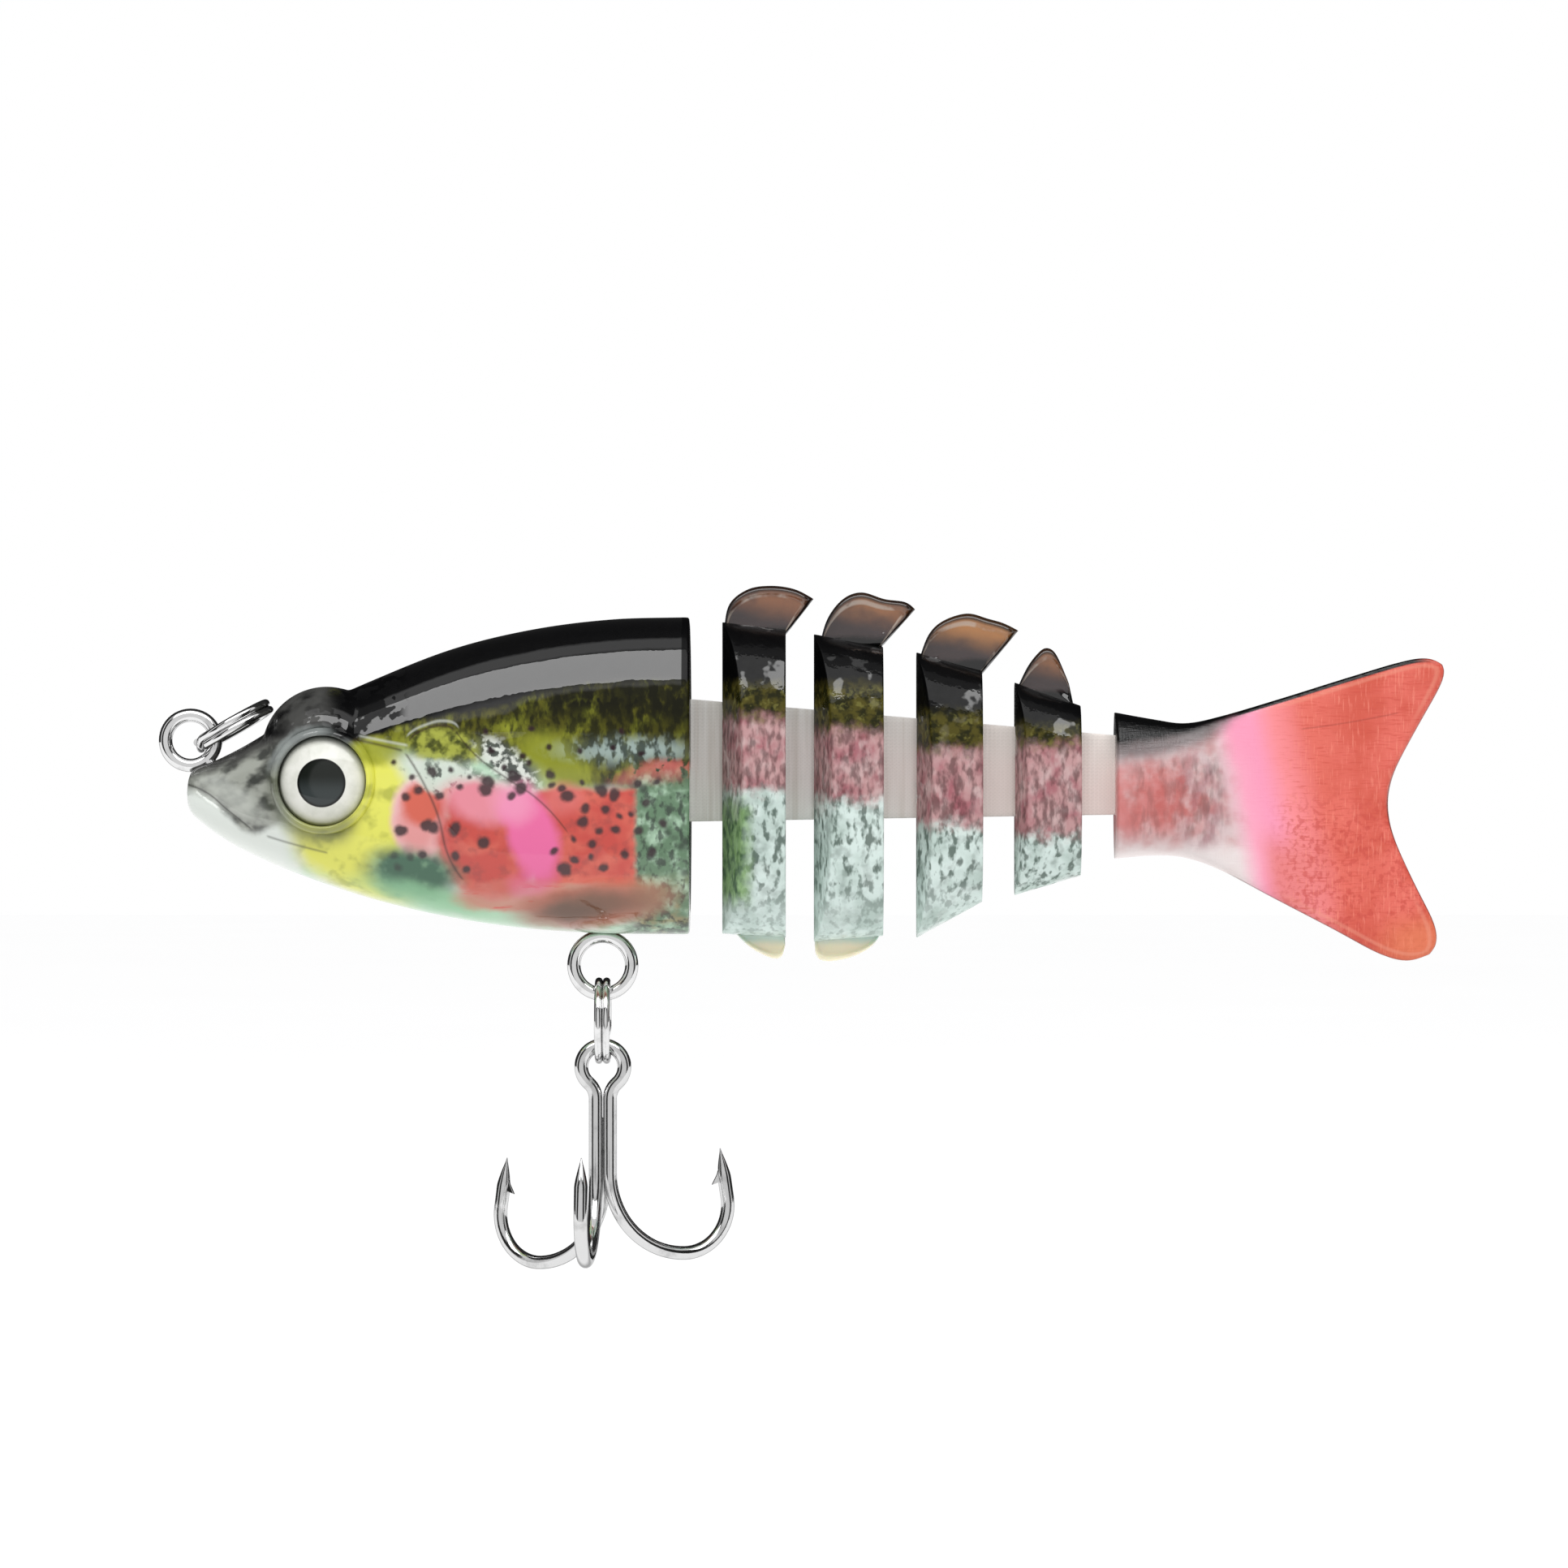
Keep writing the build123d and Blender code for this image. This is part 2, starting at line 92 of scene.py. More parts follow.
# ------------------------------------------------------------------ numbers and curves


def ease(low: float, high: float, value: float) -> float:
    """A smooth step from 0 at low to 1 at high.

    Args:
        low: where the step starts.
        high: where the step ends.
        value: where it is read.

    Returns:
        The step's height, from 0 to 1.
    """
    share = min(max((value - low) / (high - low), 0.0), 1.0)
    return share * share * (3 - 2 * share)


def signed_power(value: float, power: float) -> float:
    """The power of a number's size, with the number's own sign."""
    return copysign(abs(value) ** power, value)


def read_stations(stations: Sequence[Station], x: float) -> tuple[float, float, float]:
    """The body's top, bottom and half width at x, by a smooth curve through its stations.

    Args:
        stations: rows of x, top, bottom and half width, in mm.
        x: where it is read, in mm.

    Returns:
        Top, bottom and half width, in mm.
    """
    last = len(stations) - 2
    index = 0
    while index < last and x > stations[index + 1][0]:
        index += 1
    here, there = stations[index], stations[index + 1]
    before = stations[max(index - 1, 0)]
    after = stations[min(index + 2, last + 1)]
    width = there[0] - here[0]
    t = (x - here[0]) / width
    sizes = []
    for k in (1, 2, 3):
        slope_here = (there[k] - before[k]) / (there[0] - before[0]) * width
        slope_there = (after[k] - here[k]) / (after[0] - here[0]) * width
        rest = (2 * t**3 - 3 * t**2 + 1) * here[k] + (t**3 - 2 * t**2 + t) * slope_here
        sizes.append(rest + (3 * t**2 - 2 * t**3) * there[k] + (t**3 - t**2) * slope_there)
    return sizes[0], sizes[1], sizes[2]


def blend_points(start: Flat, end: Flat, share: float) -> Flat:
    """The point a share of the way from one point to another."""
    return start[0] + (end[0] - start[0]) * share, start[1] + (end[1] - start[1]) * share


def smooth_line(points: Sequence[Flat], count: int) -> list[Flat]:
    """Evenly spaced points on a smooth curve through a few points.

    Args:
        points: the points that shape the curve.
        count: how many points to return.

    Returns:
        The curve's points, from end to end.
    """

    dense: list[Flat] = []
    for i in range(len(points) - 1):
        a, b = points[max(i - 1, 0)], points[i]
        c, d = points[i + 1], points[min(i + 2, len(points) - 1)]
        for step in range(CURVE_STEPS):
            t = step / CURVE_STEPS
            pair = []
            for k in (0, 1):
                bend = 2 * a[k] - 5 * b[k] + 4 * c[k] - d[k]
                twist = 3 * b[k] - a[k] - 3 * c[k] + d[k]
                pair.append(b[k] + 0.5 * t * (c[k] - a[k] + t * (bend + t * twist)))
            dense.append((pair[0], pair[1]))
    dense.append(points[-1])
    lengths = [0.0]
    for p, q in zip(dense, dense[1:]):
        lengths.append(lengths[-1] + hypot(q[0] - p[0], q[1] - p[1]))
    line: list[Flat] = []
    k = 0
    for i in range(count):
        wanted = lengths[-1] * i / (count - 1)
        while k < len(dense) - 2 and lengths[k + 1] < wanted:
            k += 1
        share = (wanted - lengths[k]) / max(lengths[k + 1] - lengths[k], 1e-9)
        line.append(blend_points(dense[k], dense[k + 1], share))
    return line


# ------------------------------------------------------------------ meshes and wires


def add_object(name: str, data: bpy.types.ID) -> Thing:
    """A new object in the scene, at the origin."""
    thing = bpy.data.objects.new(name, data)
    bpy.context.scene.collection.objects.link(thing)
    return thing


def weld(mesh: bpy.types.Mesh, distance: float) -> None:
    """Merges a mesh's doubled corners and turns its faces outwards."""
    cleaner = bmesh.new()
    cleaner.from_mesh(mesh)
    bmesh.ops.remove_doubles(cleaner, verts=cleaner.verts, dist=distance)
    bmesh.ops.recalc_face_normals(cleaner, faces=cleaner.faces)
    cleaner.to_mesh(mesh)
    cleaner.free()


def baked(thing: Thing) -> bpy.types.Mesh:
    """An object's mesh with its modifiers applied."""
    graph = bpy.context.evaluated_depsgraph_get()
    return bpy.data.meshes.new_from_object(thing.evaluated_get(graph))


def make_mesh(
    name: str, points: Sequence[Point], faces: Sequence[Sequence[int]], rims: Sequence[float] = ()
) -> Thing:
    """A closed mesh object with its faces turned outwards.

    Args:
        name: the piece's name.
        points: corners in mm, in the lure's frame.
        faces: each face's corners.
        rims: an optional value for each corner, kept as the attribute "rim".

    Returns:
        The new object, at the origin.
    """
    mesh = bpy.data.meshes.new(name)
    mesh.from_pydata([[c * MM for c in p] for p in points], [], [list(f) for f in faces])
    if rims:
        rim = mesh.attributes.new("rim", "FLOAT", "POINT")
        rim.data.foreach_set("value", list(rims))
    weld(mesh, WELD_GAP * MM)
    mesh.shade_smooth()
    return add_object(name, mesh)


def make_skin(
    name: str, rings: Sequence[Sequence[Point]], rims: Sequence[float] = (), capped: bool = True
) -> Thing:
    """A smooth skin over rings of points, with a live Subdivision Surface.

    Args:
        name: the piece's name.
        rings: rows of points that each go right round, all of one length.
        rims: an optional value for each point, kept as the attribute "rim".
        capped: whether faces close the first and the last ring.

    Returns:
        The new object.
    """
    count = len(rings[0])
    last = (len(rings) - 1) * count
    faces: list[list[int]] = []
    for a in range(0, last, count):
        for j in range(count):
            k = (j + 1) % count
            faces.append([a + j, a + k, a + count + k, a + count + j])
    for start in (0, last) if capped else ():
        for j in range(count // 2):
            other = count - 1 - j
            if other - 1 > j + 1:
                faces.append([start + j, start + j + 1, start + other - 1, start + other])
            elif other > j + 1:
                faces.append([start + j, start + j + 1, start + other])
    thing = make_mesh(name, [p for ring in rings for p in ring], faces, rims)
    surface = thing.modifiers.new("Subdivision", "SUBSURF")
    surface.levels = surface.render_levels = SKIN_LEVELS
    return thing


def turned(name: str, profile: Sequence[Flat], place: Matrix) -> Thing:
    """A turned piece: a profile swept round its axis, then put in place.

    Args:
        name: the piece's name.
        profile: points of radius and height in mm, from top to bottom.
        place: where the turning axis goes, in mm.

    Returns:
        The piece, with its place in its mesh.
    """
    outline = bpy.data.meshes.new(name)
    outline.from_pydata([(r, 0, h) for r, h in profile], [(i, i + 1) for i in range(len(profile) - 1)], [])
    blank = add_object(name, outline)
    screw = blank.modifiers.new("Screw", "SCREW")
    screw.steps = screw.render_steps = TURN_STEPS
    screw.use_merge_vertices = True
    screw.merge_threshold = 0.0005
    screw.use_smooth_shade = True
    mesh = baked(blank)
    bpy.data.objects.remove(blank)
    mesh.name = name
    weld(mesh, TURNED_GAP)
    mesh.transform(Matrix.Scale(MM, 4) @ place)
    mesh.shade_smooth()
    return add_object(name, mesh)


def wire(
    name: str, line: Sequence[Point], radius: float, closed: bool = False, radii: Sequence[float] = ()
) -> Thing:
    """A round wire along a line.

    Args:
        name: the piece's name.
        line: the middle of the wire, in mm.
        radius: the wire's radius in mm.
        closed: whether its ends meet.
        radii: an optional share of the radius at each point, for a taper.

    Returns:
        The curve object.
    """
    curve = bpy.data.curves.new(name, "CURVE")
    curve.dimensions = "3D"
    curve.bevel_depth = radius * MM
    curve.bevel_resolution = WIRE_SIDES
    curve.use_fill_caps = True
    run = curve.splines.new("POLY")
    run.points.add(len(line) - 1)
    for i, (x, y, z) in enumerate(line):
        run.points[i].co = (x * MM, y * MM, z * MM, 1)
        if radii:
            run.points[i].radius = radii[i]
    run.use_cyclic_u = closed
    run.use_smooth = True
    return add_object(name, curve)


def flat_line(points: Sequence[Flat]) -> list[Point]:
    """Points of x and z put on the middle plane."""
    return [(x, 0.0, z) for x, z in points]


def moved_line(place: Matrix, points: Sequence[Point]) -> list[Point]:
    """Points moved by a matrix."""
    return [tuple(place @ Vector(point)) for point in points]


def arc(centre: Flat, radius: float, start: float, end: float, count: int) -> list[Flat]:
    """Points on a circular arc. Angles are in degrees, from +X towards +Z."""
    line = []
    for i in range(count):
        angle = radians(start + (end - start) * i / (count - 1))
        line.append((centre[0] + radius * cos(angle), centre[1] + radius * sin(angle)))
    return line


def dress(thing: Thing, finish: Material) -> None:
    """Gives an object one material."""
    thing.data.materials.clear()
    thing.data.materials.append(finish)


def hand_over(thing: Thing, body: str, slot: str, finish: Material, *nodes: str) -> None:
    """Gives a piece its finish, its body and the CAD nodes that it stands for.

    Args:
        thing: the piece.
        body: the CAD body that it rides on.
        slot: the record's material slot; not used.
        finish: the material.
        nodes: the CAD nodes that it replaces.
    """
    dress(thing, finish)
    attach(thing, body)
    if nodes:
        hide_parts(*nodes)
    LOG.info("%s rides on %s", thing.name, body)


# ------------------------------------------------------------------ paint


def tint(red: int, green: int, blue: int) -> Colour:
    """A paint colour in linear light, from its display values of 0 to 255."""
    parts = []
    for value in (red, green, blue):
        share = value / 255
        bright = ((share + SRGB_LIFT) / (1 + SRGB_LIFT)) ** SRGB_POWER
        parts.append(share / SRGB_SLOPE if share < SRGB_KNEE else bright)
    return parts[0], parts[1], parts[2]


def feed(tree: Tree, node: Node, inputs: Inputs) -> None:
    """Links a node's inputs, or sets their values.

    Args:
        tree: the node tree.
        node: the node.
        inputs: a socket or a value for each input's name or number. A colour may leave out its alpha.
    """
    for key, value in inputs.items():
        socket = node.inputs[key]
        if isinstance(value, Socket):
            tree.links.new(value, socket)
        elif isinstance(value, tuple) and len(value) == 3 and len(socket.default_value) == 4:
            socket.default_value = (*value, 1)
        else:
            socket.default_value = value


def add_node(tree: Tree, kind: str, inputs: Inputs, **settings: object) -> Node:
    """Adds a shader node.

    Args:
        tree: the node tree.
        kind: the node's type, without the "ShaderNode" that every type starts with.
        inputs: a socket or a value for each input's name or number.
        settings: the node's own settings.

    Returns:
        The node.
    """
    node = tree.nodes.new("ShaderNode" + kind)
    for name, value in settings.items():
        setattr(node, name, value)
    feed(tree, node, inputs)
    return node


class Paint:
    """A material's nodes, with short calls for what a lure painter does: bands, patches, strokes and spots."""

    def __init__(self, name: str, wander: float = 0.0) -> None:
        """Starts a material whose pattern is laid out in mm in the lure's own frame.

        Args:
            name: the material's name.
            wander: how far noise pushes the pattern about, in mm.
        """
        self.material = bpy.data.materials.new(name)
        self.material.use_nodes = True
        self.tree = self.material.node_tree
        self.tree.nodes.clear()
        self.shader = self.node("BsdfPrincipled", {})
        self.node("OutputMaterial", {"Surface": self.shader.outputs[0]})
        coordinates = self.node("TexCoord", {})
        self.place = self.vector("SCALE", coordinates.outputs["Object"], Scale=1 / MM)
        self.x, _, self.z = self.split(self.place)
        self.drifting = self.drift(wander) if wander else self.place
        self.dx, _, self.dz = self.split(self.drifting)
        self.coat: object = (0.0, 0.0, 0.0)

    def node(self, kind: str, inputs: Inputs, **settings: object) -> Node:
        """Adds a node to the material, with its settings and its inputs."""
        return add_node(self.tree, kind, inputs, **settings)

    def vector(self, operation: str, *values: object, **inputs: float) -> Socket:
        """One Vector Math node that gives a vector, or a number for a distance or length."""
        node = self.node("VectorMath", {**dict(enumerate(values)), **inputs}, operation=operation)
        return node.outputs["Value" if operation in ("DISTANCE", "LENGTH") else "Vector"]

    def split(self, place: Socket) -> tuple[Socket, ...]:
        """A vector's three parts."""
        return tuple(self.node("SeparateXYZ", {0: place}).outputs)

    def drift(self, amount: float) -> Socket:
        """The place in mm, pushed about by noise."""
        node = self.node("TexNoise", {"Vector": self.place, "Scale": DRIFT_SCALE, "Detail": 4.0})
        centred = self.vector("SUBTRACT", node.outputs["Color"], (0.5, 0.5, 0.5))
        return self.vector("MULTIPLY_ADD", centred, (2 * amount,) * 3, self.place)

    def sum(self, operation: str, first: Value, second: Value = 0.0) -> Socket:
        """One Math node."""
        return self.node("Math", {0: first, 1: second}, operation=operation).outputs[0]

    def step(self, value: Value, low: float, high: float) -> Socket:
        """A smooth mask: 0 where value is at low, 1 where it is at high."""
        ends = {"From Min": min(low, high), "From Max": max(low, high)}
        ends |= {"To Min": float(low > high), "To Max": float(low < high)}
        return self.node("MapRange", {"Value": value, **ends}, interpolation_type="SMOOTHSTEP").outputs[0]

    def between(self, value: Value, low: float, high: float, soft: float) -> Socket:
        """A mask that is 1 between two values."""
        return self.both(self.step(value, low - soft, low + soft), self.step(value, high + soft, high - soft))

    def chain(self, operation: str, values: Sequence[Value]) -> Value:
        """Several values put together by one kind of Math node after another."""
        return reduce(lambda first, second: self.sum(operation, first, second), values)

    def both(self, *masks: Value) -> Value:
        """Masks multiplied together."""
        return self.chain("MULTIPLY", masks)

    def either(self, *masks: Value) -> Value:
        """The strongest of several masks."""
        return self.chain("MAXIMUM", masks)

    def add(self, *values: Value) -> Value:
        """Values added up."""
        return self.chain("ADD", values)

    def over(self, base: object, top: object, *masks: Value) -> Socket:
        """Paints one colour over another through masks that are multiplied together."""
        return self.node("Mix", {"Factor": self.both(*masks), 6: base, 7: top}, data_type="RGBA").outputs[2]

    def lay(self, top: object, *masks: Value) -> None:
        """Paints a colour over all that is on the piece so far."""
        self.coat = self.over(self.coat, top, *masks)

    def noise(
        self, scale: float, detail: float = 3.0, stretch: Point = (1, 1, 1), rough: float = 0.55
    ) -> Socket:
        """Fractal noise, with features of about 1 / scale mm."""
        place = self.vector("MULTIPLY", self.place, stretch)
        return self.node(
            "TexNoise", {"Vector": place, "Scale": scale, "Detail": detail, "Roughness": rough},
        ).outputs["Fac"]

    def flecks(self, scale: float, share: float, soft: float, stretch: Point = (1, 1, 1)) -> Socket:
        """A mask of soft irregular flecks. A larger share leaves more of them."""
        level = FLECK_LEVEL - share
        return self.step(self.noise(scale, 2.5, stretch, 0.5), level - soft, level + soft)

    def spots(self, pitch: float, size: float, soft: float) -> Socket:
        """Roundish spots, about one in each square of the given pitch."""
        cells = self.node("TexVoronoi", {"Vector": self.drifting, "Scale": 1 / pitch})
        return self.step(cells.outputs["Distance"], (size + soft) / pitch, (size - soft) / pitch)

    def patch(self, centre: Flat, radii: Flat, soft: float, turn: float = 0.0) -> Socket:
        """An airbrushed oval in the side view.

        Args:
            centre: its x and z in mm.
            radii: its half length and half height in mm.
            soft: how far its edge fades, as a share of its radius.
            turn: degrees that its rear end is lifted by.

        Returns:
            The mask, 1 inside.
        """
        inputs = {
            "Vector": self.drifting, "Location": (centre[0], 0, centre[1]),
            "Rotation": (0, -radians(turn), 0), "Scale": (radii[0], THROUGH, radii[1]),
        }
        node = self.node("Mapping", inputs, vector_type="TEXTURE")
        return self.step(self.vector("LENGTH", node.outputs[0]), 1 + soft, 1 - soft)

    def dots(self, places: Sequence[Flat], size: float, soft: float) -> Socket:
        """Spots at given places in the side view."""
        flat = self.vector("MULTIPLY", self.drifting, (1, 0, 1))
        gaps = [self.vector("DISTANCE", flat, (x, 0, z)) for x, z in places]
        return self.step(self.chain("MINIMUM", gaps), size + soft, size - soft)

    def trace(self, along: Socket, points: Sequence[Flat]) -> Socket:
        """A smooth curve through points, read at a coordinate, for edges that are drawn freehand.

        Args:
            along: the coordinate that it is read at.
            points: rows of that coordinate and the curve's value there, in mm.

        Returns:
            The curve's value in mm.
        """
        start, end = points[0][0], points[-1][0]
        low, high = min(p[1] for p in points), max(p[1] for p in points) + 1e-4
        share = self.sum("DIVIDE", self.sum("SUBTRACT", along, start), end - start)
        node = self.node("FloatCurve", {"Value": share})
        line = node.mapping.curves[0]
        spots = [((p[0] - start) / (end - start), (p[1] - low) / (high - low)) for p in points]
        line.points[0].location, line.points[-1].location = spots[0], spots[-1]
        for spot in spots[1:-1]:
            line.points.new(*spot)
        node.mapping.update()
        return self.add(self.both(node.outputs[0], high - low), low)

    def above(self, points: Sequence[Flat], soft: float) -> Socket:
        """A mask over everything higher than a freehand line of x and z."""
        return self.step(self.sum("SUBTRACT", self.dz, self.trace(self.x, points)), -soft, soft)

    def stroke(self, points: Sequence[Flat], width: float, soft: float, upright: bool = False) -> Socket:
        """A freehand stroke in the side view.

        Args:
            points: x and z of points along it, in the order of x, or of z if it is upright.
            width: its half width in mm.
            soft: how far its edge fades, in mm.
            upright: whether it is read along z instead of x.

        Returns:
            The mask, 1 on the stroke.
        """
        along, across = (self.z, self.x) if upright else (self.x, self.z)
        path = [(z, x) for x, z in points] if upright else list(points)
        gap = self.sum("ABSOLUTE", self.sum("SUBTRACT", across, self.trace(along, path)))
        span = self.between(along, path[0][0], path[-1][0], STROKE_END)
        return self.both(self.step(gap, width + soft, width - soft), span)

    def attribute(self, name: str) -> Socket:
        """A value that the mesh carries."""
        return self.node("Attribute", {}, attribute_name=name).outputs["Fac"]

    def bump(self, height: Value, strength: float, depth: float) -> None:
        """Gives the shader and its coat a bump, depth in mm."""
        node = self.node("Bump", {"Strength": strength, "Distance": depth * MM, "Height": height})
        self.shade({"Normal": node.outputs[0], "Coat Normal": node.outputs[0]})

    def glow(self, weight: float, radius: Colour = (1.0, 0.6, 0.5)) -> None:
        """Lets light into the plastic a little way."""
        self.shade({"Subsurface Weight": weight, "Subsurface Radius": radius, "Subsurface Scale": 0.4 * MM})

    def shade(self, inputs: Inputs) -> None:
        """Links or sets inputs of the shader."""
        feed(self.tree, self.shader, inputs)

    def finish(self, rough: Value, coat: Value = 0.0, metal: float = 0.0) -> Material:
        """Gives the shader the paint laid so far and its main values, and returns the material."""
        self.shade({
            "Base Color": self.coat, "Roughness": rough, "Metallic": metal, "Coat Weight": coat,
            "Specular IOR Level": BARE_SHINE if coat == 0.0 or metal else COATED_SHINE,
            "Coat Roughness": COAT_ROUGH, "Coat IOR": COAT_IOR,
        })
        return self.material


@dataclass(frozen=True)
class Palette:
    """The lure's paints."""

    black: Colour = tint(6, 6, 7)
    charcoal: Colour = tint(72, 72, 70)
    olive: Colour = tint(84, 82, 22)
    moss: Colour = tint(34, 34, 10)
    lime: Colour = tint(146, 152, 46)
    chartreuse: Colour = tint(228, 228, 96)
    sky: Colour = tint(160, 178, 172)
    pearl: Colour = tint(218, 223, 214)
    mint: Colour = tint(186, 218, 190)
    coral: Colour = tint(200, 70, 60)
    salmon: Colour = tint(218, 108, 104)
    pink: Colour = tint(234, 104, 160)
    mauve: Colour = tint(150, 104, 112)
    plum: Colour = tint(44, 26, 32)
    leaf: Colour = tint(138, 174, 114)
    ink: Colour = tint(34, 44, 38)
    amber: Colour = tint(252, 241, 208)
    brown: Colour = tint(112, 84, 66)


PALETTE = Palette()


@dataclass(frozen=True)
class HeadPaint:
    """The head's trout pattern under a thick clear coat."""

    back_hem: tuple[Flat, ...] = (
        (5.0, 0.3), (6.6, 0.02), (8.2, 0.4), (9.7, 0.84), (12.3, 1.24), (14.0, 1.85), (16.2, 2.24),
        (19.9, 2.42),
    )
    large_spots: tuple[Flat, ...] = (
        (8.55, -3.57), (9.62, -3.36), (10.65, -3.48), (11.76, -4.03), (15.73, -3.22), (15.11, -2.26),
        (12.0, -1.68), (11.9, -1.95), (13.25, -1.95), (16.95, -2.15), (16.4, -1.95), (14.97, -5.12),
        (13.0, -1.45), (9.85, -3.44),
    )
    medium_spots: tuple[Flat, ...] = (
        (9.38, -4.47), (11.08, -5.13), (10.65, -4.58), (14.56, -4.4), (16.05, -4.06), (8.76, -2.26),
        (9.24, -1.99), (10.07, -2.26), (9.8, -1.23), (12.9, -2.2), (15.35, -4.75), (16.95, -3.55), (17.3, -4.5),
        (14.45, -1.35), (16.6, -2.75), (17.8, -1.7), (18.2, -2.5), (17.9, -3.6), (18.4, -4.4), (16.5, -5.0),
        (18.9, -3.3), (15.8, -2.75), (14.9, -1.95),
    )
    small_spots: tuple[Flat, ...] = (
        (12.1, -0.45), (13.7, 0.45), (14.35, -0.3), (16.9, -0.35), (15.7, -1.7), (17.6, -2.9), (8.93, -1.43),
        (11.25, -1.43), (8.3, -0.9), (14.5, -1.75), (13.6, -0.9), (11.9, 0.35), (17.2, 0.35), (18.6, -1.6),
        (12.6, -1.1), (13.4, -0.6), (15.3, -3.9), (16.35, -3.6), (16.0, -4.6), (17.1, -3.0), (10.5, -1.2),
        (10.9, -1.9), (15.6, -0.4), (18.0, -0.6),
    )

    def material(self) -> Material:
        """Makes the material."""
        p = Paint("trout_head_paint", 0.22)
        c = PALETTE
        p.coat = c.mint
        p.lay(c.pearl, p.step(p.noise(0.5), 0.42, 0.66))
        self.shoulder(p)
        self.rear_flank(p)
        self.cheek(p)
        self.gill_cover(p)
        self.low_patches(p)
        self.snout(p)
        spots = p.either(
            p.dots(self.large_spots, 0.25, 0.1), p.dots(self.medium_spots, 0.18, 0.09),
            p.dots(self.small_spots, 0.12, 0.08),
        )
        p.lay(c.plum, spots, 0.93)
        back = p.both(p.above(self.back_hem, 0.14), p.step(p.x, 5.2, 6.2))
        p.lay(c.black, back)
        self.lines(p)
        p.bump(p.noise(0.8, 3.0), 0.08, 0.1)
        hem = tuple((x, z - 0.25) for x, z in self.back_hem)
        gloss = p.both(
            p.either(p.step(p.x, 8.3, 8.9), p.flecks(1.6, 0.12, 0.02)), p.step(p.x, 19.6, 19.54),
            p.above(hem, 0.1),
        )
        flank = p.both(p.step(p.z, -0.6, -1.6), 0.9)
        return p.finish(p.step(p.noise(3.0), -1.0, 2.2), p.either(p.either(gloss, flank), 0.12))

    def shoulder(self, p: Paint) -> None:
        """Mottled olive along the shoulder, with lime, white and blue-grey windows under it."""
        c = PALETTE
        olive = p.over(c.olive, c.lime, p.flecks(1.1, 0.03, 0.16, (1, 1, 0.7)), 0.85)
        olive = p.over(olive, c.moss, p.flecks(3.4, 0.12, 0.14, (1.2, 1, 0.6)), 0.9)
        low_hem = (
            (7.0, -0.3), (9.0, -0.45), (11.0, -0.75), (12.4, -0.6), (14.0, -1.1), (15.6, -1.9), (17.5, -1.9),
            (19.9, -2.3),
        )
        p.lay(olive, p.above(low_hem, 0.35))
        p.lay(c.lime, p.patch((14.6, -0.9), (1.6, 1.0), 0.45, -32), 0.85)
        plate = p.over(tint(168, 174, 74), tint(70, 76, 30), p.flecks(2.4, 0.1, 0.14))
        p.lay(plate, p.patch((10.3, -0.25), (1.5, 0.75), 0.3, -8), 0.9)
        speckle = p.over(c.pearl, c.ink, p.flecks(3.4, 0.15, 0.08), 0.9)
        p.lay(
            speckle,
            p.either(
                p.patch((12.75, -0.95), (1.45, 0.62), 0.4, -38), p.patch((11.2, -1.55), (1.2, 0.45), 0.5, -25),
            ),
        )
        blue = p.over(c.sky, c.ink, p.flecks(2.4, 0.12, 0.06, (1.1, 1, 0.7)), 0.85)
        p.lay(blue, p.patch((17.6, -0.42), (2.4, 0.5), 0.7), 0.9)
        blush = p.over(c.salmon, c.ink, p.flecks(2.4, 0.04, 0.05))
        p.lay(blush, p.patch((18.6, -1.35), (1.5, 0.42), 0.5, 8), 0.7)
        upper = p.above(((9.0, 0.6), (14.0, 0.7), (19.9, 0.2)), 0.8)
        dusk = p.both(p.flecks(2.4, 0.18, 0.14, (1.1, 1, 0.6)), p.step(p.x, 9.5, 15.0))
        rear = p.both(p.flecks(3.0, 0.25, 0.12, (1.1, 1, 0.6)), p.step(p.x, 14.5, 17.5), 0.9)
        p.lay(tint(20, 20, 5), upper, p.either(dusk, rear))

    def rear_flank(self, p: Paint) -> None:
        """Grey-green rear of the flank with ink mottling."""
        c = PALETTE
        base = p.over(tint(96, 128, 98), c.mint, p.flecks(1.7, 0.04, 0.14), 0.8)
        base = p.over(base, tint(150, 136, 96), p.step(p.dz, -5.0, -6.4), p.flecks(1.0, 0.06, 0.12))
        base = p.over(
            base, c.ink, p.either(p.flecks(3.0, 0.06, 0.1, (1.2, 1, 0.8)), p.spots(0.8, 0.21, 0.11)), 0.8,
        )
        mask = p.both(p.step(p.dx, 16.9, 18.0), p.step(p.dz, -0.9, -2.0))
        p.lay(base, mask)

